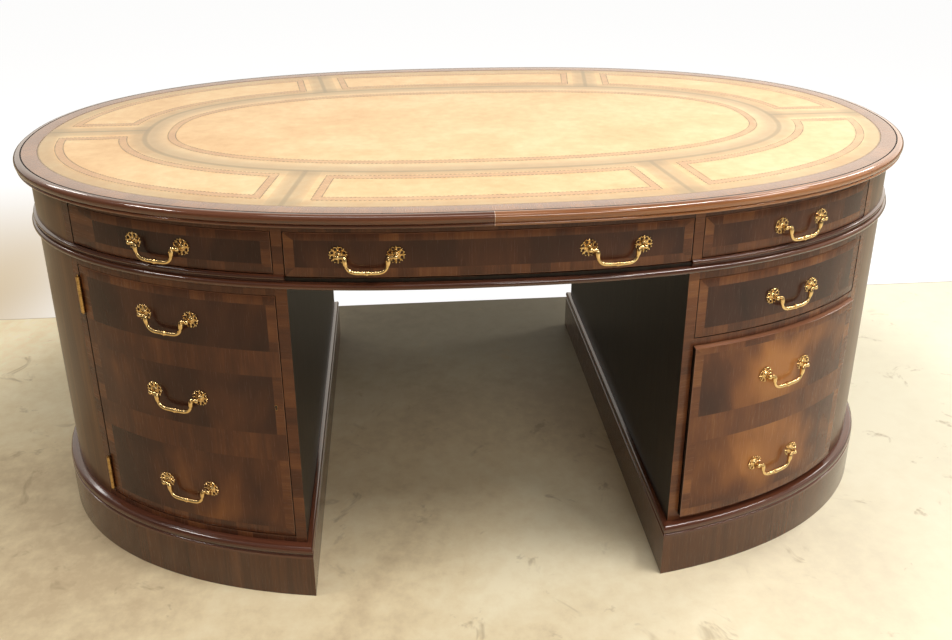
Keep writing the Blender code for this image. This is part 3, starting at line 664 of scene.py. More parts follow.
def crossing(inset, drift, at, along, target):
    """Length round the top where an inset outline crosses a line, near the target."""
    place = BASE_X - (inset + drift * NORMAL_X ** 2) * NORMAL_X
    level = BASE_Y - (inset + drift * NORMAL_X ** 2) * NORMAL_Y
    side = (place - at[0]) * along[1] - (level - at[1]) * along[0]
    swaps = np.nonzero(side[:-1] * side[1:] <= 0)[0]
    best = min(swaps, key=lambda k: math.hypot(place[k] - target[0], level[k] - target[1]))
    share = side[best] / (side[best] - side[best + 1]) if side[best] != side[best + 1] else 0.0
    return float(ARC[best] + share * (ARC[best + 1] - ARC[best]))


def tooled_run(skin, near, far, sheet):
    """A tooled strip: its length runs along the near line, and its width from 0 to 1."""
    lengths = running(near)
    for i in range(len(near) - 1):
        skin.face([near[i], near[i + 1], far[i + 1], far[i]], TOOLING, grained(lengths[i:i + 2], (0, 1), sheet))


def directions(outer, inner):
    """The way along a dividing line, and the way to its side."""
    along = (inner - outer).normalized()
    return along, Vector((-along.y, along.x))


def panel_sides(start, stop, out, level):
    """The four sides of a line round a panel between two dividers, out inwards from its border's outer edge."""
    ends = []
    for (outer, inner), way in ((start, 1.0), (stop, -1.0)):
        along, side = directions(outer, inner)
        at = outer + side * -way * (END_GAP + out)
        ends.append((crossing(OUTER_RUN + out, 0.0, at, along, outer),
                     crossing(INNER_RUN + RUN_WIDTH - out, RUN_DRIFT, at, along, inner)))
    (a, b), (d, c) = ends
    if d < a:
        d += ROUND
    if c < b:
        c += ROUND
    cuts = 40
    first = outline(a, d, cuts, OUTER_RUN + out, level)
    third = outline(c, b, cuts, INNER_RUN + RUN_WIDTH - out, level, RUN_DRIFT)
    return first, [first[-1], third[0]], third, [third[-1], first[0]]


def make_tooling():
    """The tooled borders, and the aged lines between the panels, a little lower."""
    level = DESK_TOP - 0.00025
    tooling, sheet = Skin(), 10.0
    for start, stop in zip(DIVIDERS, DIVIDERS[1:] + DIVIDERS[:1]):
        for near, far in zip(panel_sides(start, stop, 0.0, level), panel_sides(start, stop, RUN_WIDTH, level)):
            tooled_run(tooling, near, far, sheet)
            sheet += 1.0
    near, far = ring(OVAL_BAND, level, OVAL_DRIFT), ring(OVAL_BAND + RUN_WIDTH, level, OVAL_DRIFT)
    tooled_run(tooling, near + near[:1], far + far[:1], sheet)
    tooling.show("tooled_borders", "carcass", "leather", ["leather_inset"])

    lines, level, half, cuts = Skin(), DESK_TOP - 0.00035, 0.030, 30
    for outer, inner in DIVIDERS:
        along, side = directions(outer, inner)
        reach = (inner - outer).length + 0.012
        for i in range(cuts):
            for w0, w1 in ((-half, 0.0), (0.0, half)):
                corners, grain = [], []
                for share, w in ((i, w0), (i + 1, w0), (i + 1, w1), (i, w1)):
                    corners.append((*(outer + along * (reach * share / cuts) + side * w), level))
                    grain.append((0.0, w, 1.0))
                lines.face(corners, LINED_HIDE, grain, flip=True)
    mesh, values = lines.made("panel_lines"), []
    for vertex in mesh.vertices:
        away = np.hypot(BASE_X - vertex.co.x, BASE_Y - vertex.co.y)
        near = int(np.argmin(away))
        inset = max(float(away[near]), LEATHER_INSET + 0.0003)
        drift = np.interp(inset, (0.070, RING_INSET - RING_HALF), (0.0, RING_DRIFT)) * NORMAL_X[near] ** 2
        values.append(inset - float(drift))
    ring_attribute(mesh, values)
    show("panel_lines", mesh, "carcass", "leather", ["leather_inset"])


def make_waist():
    """The bead all the way round, and the reeds over it, which stop at the centre drawers."""
    inset = BODY_INSET - 0.0003

    def sections(parts):
        return [(inset - w * WAIST_OUT, FRIEZE_BOTTOM + h * WAIST_HEIGHT) for w, h in profile(parts)]

    bead = Skin()
    loft(bead, [ring(*spot) for spot in sections(LOW_REED)], REED, sheet=21.0)
    bead.show("waist_bead", "carcass", "mahogany_edge", ["waist_moulding"])
    reeds = Skin()
    right, left = face_arc(CENTRE_EDGE, inset), face_arc(-CENTRE_EDGE, inset)
    half = ROUND / 2
    for sheet, s_from, s_to in ((23.0, right - ROUND, ROUND - right), (24.0, half - (left - half), left)):
        count = max(4, math.ceil(abs(s_to - s_from) / STEP))
        loops = [outline(s_from, s_to, count, *spot) for spot in sections(HIGH_REED)]
        loft(reeds, loops, REED, closed=False, sheet=sheet)
        cap(reeds, [loop[0] for loop in loops], REED)
        cap(reeds, [loop[-1] for loop in loops], REED, flip=True)
    reeds.show("waist_reeds", "carcass", "mahogany_edge", ["waist_moulding"])


def patch(xa, xb, za, zb, inset=BODY_INSET):
    """Corners of a piece of the curved front."""
    return [(x, face_y(x, inset), z) for x, z in ((xa, za), (xb, za), (xb, zb), (xa, zb))]


def slab_front(skin, x_from, x_to, low, high, fields, sheet, tones, halves=False, bands=(BAND, BAND), warm=0.0,
               shifts=(0.0, 0.0, 0.0)):
    """A curved veneered front: fields of flame veneer, crossbanded round the rim and between them.

    The fields, their tones and the shifts of their figure run from the bottom up. With halves, the figure
    is the same on both sides of the middle. Warm lifts the tone of the crossbands as painted light.
    """
    x0, x1, z0, z1 = x_from + ARRIS, x_to - ARRIS, low + ARRIS, high - ARRIS
    left, right = x_from + bands[0], x_to - bands[1]
    columns = [x0] + steps(left, right, STEP) + [x1]
    if halves:
        columns = [x0] + steps(left, 0.0, STEP) + steps(0.0, right, STEP)[1:] + [x1]
    rows = sorted({z0, z1, *[z for field in fields for z in field]})
    middle, quarter = along_face((x_from + x_to) / 2), along_face(right) / 2
    # Each crossband is a sheet of its own. These are the numbers of those at the sides and of the level ones.
    side_sheet, level_sheet = sheet + 31.0, sheet + 41.0

    for r, (za, zb) in enumerate(zip(rows, rows[1:])):
        field = next((k for k, f in enumerate(fields) if f[0] <= (za + zb) / 2 <= f[1]), None)
        for c, (xa, xb) in enumerate(zip(columns, columns[1:])):
            corners, run = patch(xa, xb, za, zb), (along_face(xa), along_face(xb))
            edge = c in (0, len(columns) - 2)
            upright = grained(run, (za, zb), level_sheet + r, True)
            if field is not None and not edge:
                centre = (fields[field][0] + fields[field][1]) / 2
                across = [(abs(s) - quarter * 1.15 if halves else s - middle) - shifts[field] for s in run]
                grain = grained(across, (za - centre, zb - centre), sheet + field * 3.7, True)
                skin.face(corners, FLAME, grain, tones[field])
            elif field is not None:
                skin.face(corners, CROSS, grained(run, (za, zb), side_sheet + c + field), 0.60 + warm)
            elif edge and r in (0, len(rows) - 2):
                # A mitre: two triangles, with upright grain in the level band and level grain in the side's.
                level = grained(run, (za, zb), side_sheet + c)
                parts = ((0, 1, 2), (0, 2, 3)) if (c == 0) == (r == 0) else ((0, 1, 3), (1, 2, 3))
                for part, grain in zip(parts, (upright, level) if r == 0 else (level, upright)):
                    skin.face([corners[i] for i in part], CROSS, [grain[i] for i in part], 0.55 + warm)
            else:
                skin.face(corners, WIDE if zb - za > 0.03 else CROSS, upright, 0.50 + warm)

    def rim(e, d):
        """The front's outline: e outwards from the flat, d deep."""
        xs = [x0 - e] + columns[1:-1] + [x1 + e]
        return ([(x, face_y(x, BODY_INSET + d), z0 - e) for x in xs]
                + [(x, face_y(x, BODY_INSET + d), z1 + e) for x in xs[::-1]])

    face, back = rim(ARRIS, ARRIS), rim(ARRIS, FRONT_THICKNESS)
    # The eased edge takes the pale arris wood: a painted highlight.
    loft(skin, [rim(0.0, 0.0), rim(ARRIS * 0.7, ARRIS * 0.25), face], ARRIS_HIGHLIGHT_WOOD, sheet=sheet + 50, flip=True)
    # The two upright side edges of a front take the dark carcass wood, painted shade as in the gap beside a stile;
    # the top and bottom edges take the pale arris wood, a painted highlight.
    count = len(columns)
    for i in range(2 * count):
        j = (i + 1) % (2 * count)
        skin.face([back[i], back[j], face[j], face[i]], CARCASS if i in (count - 1, 2 * count - 1) else ARRIS_HIGHLIGHT_WOOD,
                  grained((0.02 * i, 0.02 * j), (0.02, 0.0), sheet), 0.6)
    for i in range(count - 1):
        skin.face([back[i], back[i + 1], back[2 * count - 2 - i], back[2 * count - 1 - i]], LINING, flip=True)


def keyhole(skin, x, z, size):
    """A keyhole: a round over a slot, a hair proud of the veneer."""
    face = face_y(x)
    slope = (face_y(x + 0.002) - face_y(x - 0.002)) / 0.004
    shape = []
    for angle in map(math.radians, evenly(-60, 240, 16)):
        shape.append((0.5 * size * math.cos(angle), 0.5 * size * math.sin(angle) + 0.3 * size))
    shape += [(-0.28 * size, -1.1 * size), (0.28 * size, -1.1 * size)]

    def placed(scale, lift):
        return [(x + px * scale, face + slope * px * scale - lift, z + pz * scale) for px, pz in shape]

    # The keyhole's opening is a near-black cap on the veneer: painted shade for the hole.
    cap(skin, placed(1.0, 0.0003), GAP_SHADE)
    loft(skin, [placed(1.12, 0.0), placed(1.12, 0.0005), placed(1.0, 0.0005), placed(1.0, 0.0001)],
         HINGE_BRASS, flip=True)


# Heights of the flame fields where the door and the file drawer have crossbands between them.
LOWER_TOP, MIDDLE_BOTTOM, MIDDLE_TOP, UPPER_BOTTOM = 0.290, 0.345, 0.463, 0.513
# The door's keyhole: its place along and up, and its width.
KEYHOLE = (-0.3795, 0.402, 0.0048)


def make_fronts():
    low, high = FRIEZE_SILL + FRONT_GAP, FRIEZE_HEAD - FRONT_GAP
    dropped, centre = low - CENTRE_DROP, CENTRE_EDGE - FRONT_GAP
    inner, outer = INNER_EDGE + FRONT_GAP, OUTER_EDGE - FRONT_GAP
    sill, under, over, head = (FILE_SILL + FRONT_GAP, RAIL_BOTTOM - FRONT_GAP, RAIL_TOP + FRONT_GAP,
                               CASE_HEAD - FRONT_GAP)
    # Warm is painted light: above zero on the right-hand pedestal, below zero on the left.
    fronts = (
        ("left_drawer", (-outer, -inner, low, high), [(low + BAND, high - BAND)], (0.23,),
         {"bands": (0.050, BAND), "warm": -0.08}),
        ("right_drawer", (inner, outer, low, high), [(low + BAND, high - BAND)], (0.33,), {"warm": 0.09}),
        ("centre_drawer", (-centre, centre, dropped, high), [(dropped + BAND, high - BAND * 0.8)], (0.36,),
         {"halves": True}),
        ("upper_drawer", (inner, outer, over, head), [(over + BAND, head - BAND)], (0.30,), {"warm": 0.09}),
        ("file_drawer", (inner, outer, sill, under), [(sill + BAND, LOWER_TOP), (MIDDLE_BOTTOM, under - 0.014)],
         (0.80, 0.92), {"warm": 0.16, "shifts": (0.0, -0.02)}),
        ("cupboard_door", (-outer, -inner, sill, head),
         [(sill + BAND, LOWER_TOP), (MIDDLE_BOTTOM, MIDDLE_TOP), (UPPER_BOTTOM, head - BAND)],
         (0.50, 0.42, 0.26), {"warm": -0.05, "shifts": (0.02, 0.06, 0.0)}),
    )
    sheet = 100.0
    for side, turn in SIDES:
        for label, box, fields, tones, extra in fronts:
            skin = Skin()
            slab_front(skin, *box, fields, sheet, tones, **extra)
            sheet += 7.3
            body = side + "_" + label
            node = body + "_front"
            if label == "cupboard_door":
                keyhole(skin, *KEYHOLE)
                node = body
            place = Matrix.Translation((0, -AJAR, 0)) if body == "front_file_drawer" else turn
            skin.show(body + "_veneers", body, "mahogany", [node], place)


def sheet_over(skin, x_from, x_to, z_from, z_to, upright, number, tone):
    """Crossbanding on the front of the carcass between two places and two heights."""
    xs = steps(x_from, x_to, STEP)
    for xa, xb in zip(xs, xs[1:]):
        grain = grained((along_face(xa), along_face(xb)), (z_from, z_to), number, upright)
        skin.face(patch(xa, xb, z_from, z_to, BODY_INSET - SKIN), CROSS, grain, tone)


def reveal(skin, x_from, x_to, z_from, z_to, number):
    """The veneer's edges turned a little way into an opening."""
    near, far = BODY_INSET - SKIN, BODY_INSET + REVEAL
    xs = steps(x_from, x_to, STEP)
    edges = [((xa, z), (xb, z), 0, z == z_to) for z in (z_from, z_to) for xa, xb in zip(xs, xs[1:])]
    edges += [((x, z_from), (x, z_to), 1, x == x_from) for x in (x_from, x_to)]
    for a, b, way, flip in edges:
        corners = [(x, face_y(x, inset), z) for (x, z), inset in ((a, near), (b, near), (b, far), (a, far))]
        skin.face(corners, CROSS, grained((a[way], b[way]), (0, REVEAL), number, True), 0.55, flip)


def end_sheet(skin, z_from, z_to, number, tone):
    """Plain veneer round the left end, from one stile's outer edge to the other's."""
    inset = BODY_INSET - SKIN
    s_to = face_arc(-STILE_EDGE, inset)
    arcs = steps(ROUND - s_to, s_to, STEP)
    for a, b in zip(arcs, arcs[1:]):
        pa, pb = at_arc(a, inset), at_arc(b, inset)
        skin.face([(*pa, z_from), (*pb, z_from), (*pb, z_to), (*pa, z_to)], CURVED,
                  grained((a, b), (z_from, z_to), number, True), tone)


def make_carcass():
    """Veneers over the frieze, the pedestals' frames and their curved ends."""
    centre, left, right = (-CENTRE_EDGE, CENTRE_EDGE), (-OUTER_EDGE, -INNER_EDGE), (INNER_EDGE, OUTER_EDGE)
    left_stile, right_stile = (-STILE_EDGE, -OUTER_EDGE), (OUTER_EDGE, STILE_EDGE)
    # The last three values of a sheet are whether its grain is upright, its number and its tone.
    for side, turn in SIDES:
        frieze = Skin()
        for opening in (left, right):
            sheet_over(frieze, *opening, FRIEZE_HEAD, FRIEZE_TOP, True, 61.0, 0.30)
            reveal(frieze, *opening, FRIEZE_SILL, FRIEZE_HEAD, 62.0)
        sheet_over(frieze, *centre, FRIEZE_HEAD, FRIEZE_TOP, True, 63.0, 0.25)
        reveal(frieze, *centre, FRIEZE_SILL - CENTRE_DROP, FRIEZE_HEAD, 64.0)
        # Each right-hand stile gets a higher tone than its left-hand twin: painted light from the right.
        for stile, low, number, tone in (
                ((-INNER_EDGE, -CENTRE_EDGE), FRIEZE_SILL - CENTRE_DROP, 65.0, 0.50),
                ((CENTRE_EDGE, INNER_EDGE), FRIEZE_SILL - CENTRE_DROP, 65.0, 0.80),
                (left_stile, FRIEZE_SILL, 67.0, 0.46), (right_stile, FRIEZE_SILL, 67.0, 0.74)):
            sheet_over(frieze, *stile, low, FRIEZE_TOP, False, number + stile[0], tone)
        frieze.show(side + "_frieze_veneers", "carcass", "mahogany", (), turn)

        cases = Skin()
        # Each right-hand stile gets a higher tone than its left-hand twin: painted light from the right.
        for stile, tone in (((-INNER_EDGE, -KNEE_HALF), 0.55), ((KNEE_HALF, INNER_EDGE), 0.74), (left_stile, 0.50),
                            (right_stile, 0.70)):
            sheet_over(cases, *stile, CASE_BOTTOM, CASE_TOP, False, 71.0 + stile[0], tone)
        for opening, number in ((left, 73.0), (right, 74.0)):
            sheet_over(cases, *opening, CASE_HEAD, CASE_TOP, True, number, 0.45)
            sheet_over(cases, *opening, CASE_BOTTOM, FILE_SILL, True, number + 2, 0.45)
        sheet_over(cases, *right, RAIL_BOTTOM, RAIL_TOP, True, 78.0, 0.60)
        reveal(cases, *left, FILE_SILL, CASE_HEAD, 79.0)
        reveal(cases, *right, FILE_SILL, RAIL_BOTTOM, 80.0)
        reveal(cases, *right, RAIL_TOP, CASE_HEAD, 81.0)
        cases.show(side + "_case_veneers", "carcass", "mahogany", (), turn)

    for label, turn in ENDS:
        ends = Skin()
        end_sheet(ends, CASE_BOTTOM, CASE_TOP, 91.0, 0.50)
        end_sheet(ends, FRIEZE_SILL - 0.001, FRIEZE_TOP, 93.0, 0.46)
        ends.show(label + "_end_veneers", "carcass", "mahogany", (), turn)


def pedestal_loop(inset, knee, z):
    """Plan of the left pedestal: round the end, then straight across the kneehole's side."""
    round_cuts, straight_cuts = 110, 12
    corner = face_arc(-knee, inset)
    loop = outline(ROUND - corner, corner, round_cuts, inset, z)
    a, b = Vector(loop[-1]), Vector(loop[0])
    return loop + [tuple(a.lerp(b, k / straight_cuts)) for k in range(1, straight_cuts)]


def make_plinths():
    foot = PLINTH_HEIGHT - PLINTH_MOULDING
    hollow = (PLINTH_INSET + PLINTH_BOARD, KNEE_HALF - PLINTH_LEDGE + PLINTH_BOARD)

    def plan(w, z):
        """The outline at a share of the way out from the pedestal to the plinth's foot."""
        return pedestal_loop(BODY_INSET - w * (BODY_INSET - PLINTH_INSET), KNEE_HALF - w * PLINTH_LEDGE, z)

    for label, turn in ENDS:
        skin = Skin()
        loft(skin, [plan(0.985, 0.0), plan(1.0, 0.0012), plan(1.0, foot)], FOOT, grain_along=False, sheet=201.0)
        loops = [plan(w, foot + h * PLINTH_MOULDING) for w, h in profile(PLINTH_PARTS)]
        loft(skin, loops, DARK, sheet=203.0)
        loft(skin, [loops[-1], pedestal_loop(*hollow, PLINTH_HEIGHT), pedestal_loop(*hollow, 0.0), plan(0.985, 0.0)],
             CARCASS, sheet=204.0)
        skin.show(label + "_plinth_dressed", "carcass", "mahogany", [label + "_plinth"], turn)


def tube(skin, path, radii, sides, normal=Vector((0, 1, 0)), closed=False):
    """A round brass bar of varying thickness along a path in a plane across the normal."""
    rings = []
    count = len(path)
    for i, at in enumerate(path):
        after, before = (i + 1) % count, i - 1
        if not closed:
            after, before = min(i + 1, count - 1), max(i - 1, 0)
        way = (Vector(path[after]) - Vector(path[before])).normalized()
        across = way.cross(normal).normalized()
        rings.append([tuple(Vector(at) + (across * c + normal * s) * radii[i]) for c, s in turns(sides)])
    for near, far in zip(rings, rings[1:] + rings[:1] if closed else rings[1:]):
        for k in range(sides):
            j = (k + 1) % sides
            skin.face([near[k], near[j], far[j], far[k]], BRASS, flip=True)
    if not closed:
        skin.face(rings[0], BRASS)
        skin.face(rings[-1], BRASS, flip=True)


def tenths(*rows):
    """Rows of lengths in metres, from tenths of a millimetre."""
    return [tuple(length / 10000 for length in row) for row in rows]


def lathe(skin, line, sides, material, turn=Matrix.Identity(4)):
    """A profile of (radius, height) turned about its own z axis."""
    rings = [[turn @ Vector((r * c, r * s, z)) for c, s in turns(sides)] for r, z in line]
    for near, far in zip(rings, rings[1:]):
        for k in range(sides):
            j = (k + 1) % sides
            unique = []
            for corner in (near[k], near[j], far[j], far[k]):
                if not any((corner - u).length < 1e-7 for u in unique):
                    unique.append(corner)
            if len(unique) > 2:
                skin.face(unique, material)


def rosette_mesh():
    """A pierced rosette: petals, stems and beads round a boss, with the post and pin that carry the bail."""
    skin = Skin()
    across = Vector((0, 0, 1))
    tube(skin, [(0.0062 * c, 0.0062 * s, 0.0011) for c, s in turns(20)], [0.00115] * 20, 6, across, closed=True)
    lathe(skin, tenths((0, 6), (56, 6), (56, 18), (46, 30), (30, 40), (24, 62), (22, 92), (27, 104), (38, 114),
                       (44, 135), (38, 155), (22, 166), (0, 170)), 12, BRASS)
    petals = 8
    for k in range(petals):
        turn = Matrix.Rotation(2 * math.pi * (k + 0.5) / petals, 4, "Z")
        loop = []
        for c, s in turns(14):
            swell = 1.0 + 0.12 * c
            loop.append(turn @ Vector((0.0104 + 0.0033 * c * swell, 0.0033 * s * swell, 0.0012 + 0.0004 * c)))
        tube(skin, loop, [0.00085] * 14, 5, across, closed=True)
        spike = Matrix.Rotation(2 * math.pi * k / petals, 4, "Z")
        stem = tenths((68, 12, 8), (100, 14, 6), (124, 14, 9), (140, 14, 14), (150, 13, 11), (160, 12, 3))
        tube(skin, [spike @ Vector((x, 0, z)) for x, z, _ in stem], [radius for _, _, radius in stem], 6, across)
        lathe(skin, tenths((0, -12), (11, -7), (13, 0), (9, 9), (0, 12)), 6, BRASS,
              Matrix.Translation(turn @ Vector((0.0146, 0, 0.0016))))
    lathe(skin, tenths((24, 0), (24, 52), (34, 60), (34, 70), (22, 78), (0, 79)), 10, BRASS,
          Matrix.Translation((0.0030, 0, STANDOFF)) @ Matrix.Rotation(math.pi / 2, 4, "Y"))
    return skin.made("rosette", 40.0)


def bail_mesh():
    """A swan-neck bail: pins, ball collars, ribbed swelling grip and a knop in the middle."""
    half = tenths((398, 0), (370, -10), (357, -40), (353, -88), (345, -138), (325, -192), (285, -240), (228, -266),
                  (150, -277), (75, -280), (0, -280))
    line = spline_through([(x, 0, z) for x, z in [(HANDLE_CENTRES / 2 - 0.0045, 0.0)] + half], 8)
    lengths = running(line)
    total = lengths[-1]
    # The bar's radius at shares of the way from the pin to the middle.
    shares = (0, 0.10, 0.14, 0.20, 0.29, 0.36, 0.50, 0.62, 0.88, 1.0)
    thick, = tenths((30, 32, 42, 47, 42, 30, 33, 38, 37, 33))

    def swelling(s, at, width, size):
        return size * max(0.0, 1 - ((s - at) / width) ** 2)

    path, radii = [], []
    for s in evenly(0.0, total, 96):
        middle = total - s
        r = float(np.interp(s / total, shares, thick))
        # The grip's ribs, and then the knop and its collars.
        if 0.0040 < middle < 0.0230:
            r += 0.00034 * math.cos(2 * math.pi * middle / 0.0027)
        radii.append(r + (swelling(middle, 0.0, 0.0028, 0.0019) + swelling(middle, 0.0036, 0.0009, 0.0008)))
        path.append((float(np.interp(s, lengths, [p[0] for p in line])), 0.0,
                     float(np.interp(s, lengths, [p[2] for p in line]))))
    skin = Skin()
    tube(skin, path + [(-x, y, z) for x, y, z in path[-2::-1]], radii + radii[-2::-1], 10)
    return skin.made("bail", 60.0)


def hinge_mesh():
    """A hinge: five knuckles between ball tips, and the edge of its leaf."""
    skin = Skin()
    half, tip, knuckles = BARREL_LENGTH / 2, 0.0036, 5
    ball = ((0.0, 0.0), (0.0016, 0.0003), (0.0021, 0.0016), (0.0016, 0.0030), (0.0013, tip))
    line = [(r, -half + z) for r, z in ball]
    body = BARREL_LENGTH - 2 * tip
    for k in range(knuckles):
        a = -half + tip + body * k / knuckles
        b = a + body / knuckles
        line += [(0.0036, a + 0.0002), (0.0039, a + 0.0006), (0.0039, b - 0.0006), (0.0036, b - 0.0002)]
        if k < knuckles - 1:
            line.append((0.0031, b))
    line += [(r, half - z) for r, z in ball[::-1]]
    lathe(skin, line, 14, HINGE_BRASS)
    thick, leaf, near, far = 0.0004, half - 0.0040, 0.0030, 0.0195
    low = [(-thick, near, -leaf), (thick, near, -leaf), (thick, far, -leaf), (-thick, far, -leaf)]
    high = [(x, y, leaf) for x, y, _ in low]
    loft(skin, [low, high], HINGE_BRASS)
    cap(skin, low, HINGE_BRASS, flip=True)
    cap(skin, high, HINGE_BRASS)
    return skin.made("hinge", 30.0)


def make_brass():
    """Bails on their own bodies, rosettes on the fronts, and hinges on the carcass."""
    rosette, bail, hinge = rosette_mesh(), bail_mesh(), hinge_mesh()
    up = Vector((0, 0, 1))

    def axes(x, y, z):
        return Matrix((x, y, z)).transposed().to_4x4()

    for joint in frame["joints"]:
        name = joint["child"]
        if not name.endswith("_bail"):
            continue
        along = -Vector(joint["axis"]).normalized()
        outward = along.cross(up).normalized()
        pivot = Vector(joint["pos_m"])
        show(name + "_cast", bail, name, "brass", [name], Matrix.Translation(pivot) @ axes(along, -outward, up))
        for label, way in (("left", 1.0), ("right", -1.0)):
            inwards = along * way
            at = pivot - along * way * HANDLE_CENTRES / 2 - outward * STANDOFF
            show(name + "_" + label + "_rosette", rosette, joint["parent"], "brass", (),
                 Matrix.Translation(at) @ axes(inwards, outward.cross(inwards), outward))
    for side, turn in SIDES:
        for label in ("upper", "lower"):
            name = side + "_" + label + "_hinge"
            low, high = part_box(name)
            corner, way = (low, 0.004) if side == "front" else (high, -0.004)
            place = Matrix.Translation((corner.x + way, corner.y + way, (low.z + high.z) / 2)) @ turn
            show(name + "_turned", hinge, "carcass", "brass", [name], place)


def dress_nodes():
    """Wood for the solids that are kept: dark for the cases and the apron, oak for the inside."""
    for name, node in frame["nodes"].items():
        if node.hide_render:
            continue
        wood = CARCASS if name.endswith("_case") or name == "frieze_apron" else OAK
        for slot in node.material_slots:
            slot.material = wood


def floor_material():
    """Pale stained concrete, which gives way to plain white where the wall stands in the photograph."""
    g = Graph("pale_floor")
    place = g.place()
    x, y, _ = g.split(place)
    cloud = g.noise(place, 1.6, 5.0, 0.6, 0.6)
    speck = g.noise(place, 26.0, 4.0, 0.65)
    far = g.math("SQRT", g.scaled(x, x, g.times(y, y)))
    fade = g.span(far, 1.2, 3.6, 1.0, 0.22)
    level = g.plus(g.times(cloud, 0.72), g.times(speck, 0.28))
    level = g.scaled(g.minus(level, 0.5), fade, 0.5)
    colour = g.ramp(level, ((0.38, (620, 490, 310)), (0.50, (790, 660, 430)), (0.62, (880, 780, 550))))
    # Painted light makes the floor paler to the right, and painted shade darkens the far part of the kneehole.
    colour = g.mix(g.span(x, -0.3, 1.4, 0.0, 0.75), colour, (0.94, 0.92, 0.76))
    kneehole_shade = g.times(g.span(g.size(x), 0.75, 0.30), g.span(y, -0.15, 0.50))
    colour = g.mix(g.times(kneehole_shade, 0.76), colour, (0.06, 0.06, 0.05))
    stain = g.noise(place, 9.0, 4.0, 0.7, 0.8)
    colour = g.mix(g.times(g.span(stain, 0.60, 0.72, 0.0, 0.50), fade), colour, (0.36, 0.27, 0.16))
    # A dark line along the foot of the wall: painted shade in the corner between floor and wall.
    joint = g.span(g.away(y, WALL_LINE), 0.006, 0.002)
    colour = g.mix(g.times(joint, 0.6), colour, (0.20, 0.18, 0.15))
    g.shade(colour, g.scaled(cloud, 0.2, 0.55), specular=0.3)
    surface = g.out.inputs[0].links[0].from_socket
    camera = g.add("ShaderNodeLightPath").outputs["Is Camera Ray"]

    # Painted light: for the camera alone, an emission lifts the floor all round the desk's shadow, most to the left
    # and in front.
    around = g.plus(g.math("POWER", g.size(g.times(x, 0.87)), 2.5), g.math("POWER", g.size(g.times(y, 1.25)), 2.2))
    lift = g.span(around, 0.9, 2.0, 0.0, 0.42)
    for share in (g.span(x, 0.5, -0.3, 0.9, 1.3), g.span(far, 3.2, 2.0, 0.25, 1.0), g.span(y, 0.7, -0.9, 0.65, 1.15)):
        lift = g.times(lift, share)
    painted_glow = g.add("ShaderNodeEmission", colour, g.times(camera, lift))
    lifted = g.add("ShaderNodeAddShader", surface, painted_glow.outputs[0])

    # Beyond the line stands the wall: white, with painted shade as one brownish patch at the left.
    shaded = g.times(g.times(g.span(x, -0.9, -1.5), g.span(x, -3.0, -2.0)), g.span(y, 2.2, 0.9))
    plain = g.add("ShaderNodeEmission", g.mix(shaded, (0.90, 0.90, 0.90), (0.50, 0.38, 0.22)))
    matt = g.add("ShaderNodeBsdfDiffuse", (0.30, 0.30, 0.30))
    white = g.add("ShaderNodeAddShader", plain.outputs[0], matt.outputs[0])
    beyond = g.times(g.math("GREATER_THAN", y, WALL_LINE), camera)
    over = g.add("ShaderNodeMixShader", beyond, lifted.outputs[0], white.outputs[0])
    g.put(g.out.inputs[0], over.outputs[0])
    return g.owner


def make_stage():
    """The floor, and a world that is white for the camera and a dim room with a pale wall for reflections."""
    size = 30.0
    mesh = bpy.data.meshes.new("floor")
    mesh.from_pydata([(-size, -size, 0), (size, -size, 0), (size, size, 0), (-size, size, 0)], [], [(0, 1, 2, 3)])
    mesh.materials.append(floor_material())
    floor = added("floor", mesh)

    g = Graph("studio", world=True)
    bpy.context.scene.world = g.owner
    x, y, z = g.split(g.add("ShaderNodeTexCoord").outputs["Generated"])
    path = g.add("ShaderNodeLightPath").outputs
    wall = g.times(g.span(y, 0.15, 0.80, 0.0, 1.20), g.span(x, -0.6, 0.7, 0.88, 1.40))
    wall = g.plus(wall, g.span(x, 0.55, 0.95, 0.0, 0.90))
    wall = g.times(wall, g.times(g.span(z, 0.02, 0.12, 0.0, 1.0), g.span(z, 0.50, 0.85, 1.0, 0.0)))
    wall = g.times(wall, path["Is Glossy Ray"])
    room = g.plus(g.span(z, -0.1, 0.9, 0.07, 0.30), wall)
    seen = g.add("ShaderNodeBackground", (1.0, 1.0, 1.0), 1.0)
    lit = g.add("ShaderNodeBackground", (1.0, 0.93, 0.82), room)
    mixed = g.add("ShaderNodeMixShader", path["Is Camera Ray"], lit.outputs[0], seen.outputs[0])
    g.put(g.out.inputs[0], mixed.outputs[0])


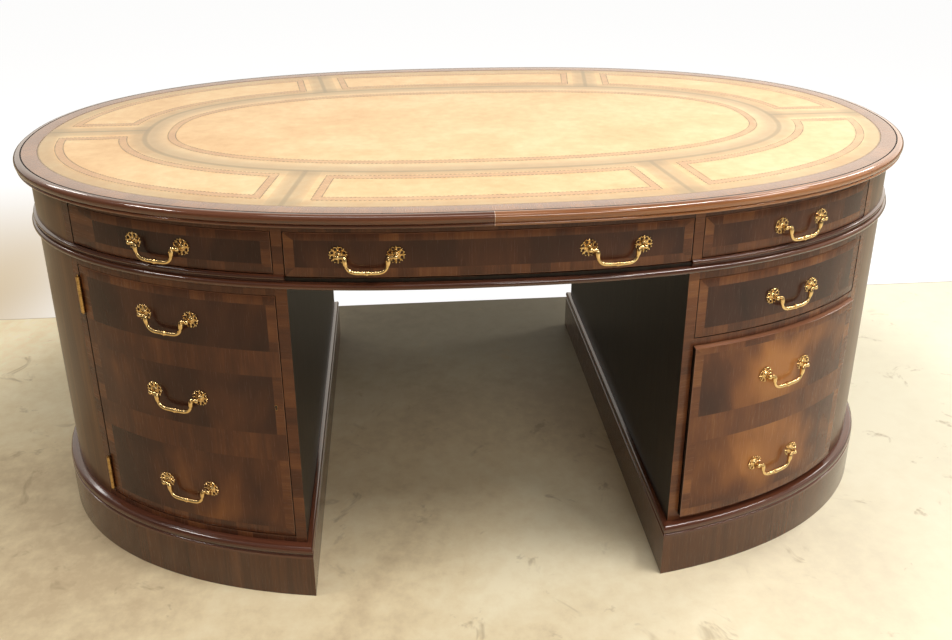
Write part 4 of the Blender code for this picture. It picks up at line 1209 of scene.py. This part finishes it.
# Each lamp: where it is, where it points, its width and height in metres, and its power in watts.
LAMPS = (
    ("key", (1.5, -1.2, 3.0), (0.2, -0.3, 0.4), (1.2, 0.24), 42.0),
    ("fill", (0.9, -3.1, 2.1), (0.1, 0, 0.3), (1.2, 0.8), 22.0),
    ("overhead", (-0.3, -0.7, 3.2), (0, 0, 0.7), (1.8, 0.6), 16.0),
    ("left_strip", (-2.5, -0.75, 2.9), (-0.6, -0.4, 0.75), (0.9, 0.16), 22.0),
    ("right_strip", (2.5, -1.0, 2.8), (0.6, -0.4, 0.75), (1.4, 0.16), 25.0),
    ("rear_left_strip", (-2.9, 2.2, 2.9), (-0.7, -0.3, 0.77), (1.4, 0.22), 9.0),
    ("rear_right_panel", (2.4, 0.9, 2.8), (0.5, -0.4, 0.77), (0.4, 1.6), 24.0),
)


def make_lamps():
    for name, at, aim, size, power in LAMPS:
        data = bpy.data.lights.new(name, "AREA")
        data.shape = "RECTANGLE"
        data.size, data.size_y = size
        data.energy = power
        data.color = (1.0, 0.97, 0.93)
        made = added(name, data)
        made.location = at
        made.rotation_mode = "QUATERNION"
        made.rotation_quaternion = (Vector(aim) - Vector(at)).to_track_quat("-Z", "Y")


def make_camera():
    """The camera that was fitted to the photograph."""
    data = bpy.data.cameras.new("camera")
    data.sensor_width = 36.0
    data.lens = 35.3237
    data.shift_x, data.shift_y = 0.00566, -0.10528
    data.dof.use_dof = False
    camera = added("camera", data)
    azimuth, elevation, roll = math.radians(-4.8355), math.radians(21.3812), math.radians(-0.1600)
    back = Vector((math.sin(azimuth) * math.cos(elevation), -math.cos(azimuth) * math.cos(elevation),
                   math.sin(elevation)))
    camera.rotation_mode = "QUATERNION"
    camera.rotation_quaternion = (-back).to_track_quat("-Z", "Y") @ Matrix.Rotation(roll, 4, "Z").to_quaternion()
    camera.location = (-0.15640, -1.93093, 1.30887)
    bpy.context.scene.camera = camera


make_camera()
make_top()
make_leather()
make_tooling()
make_waist()
make_fronts()
make_carcass()
make_plinths()
make_brass()
dress_nodes()
make_stage()
make_lamps()
bpy.context.scene.view_settings.view_transform = "Standard"

bpy.context.view_layer.update()
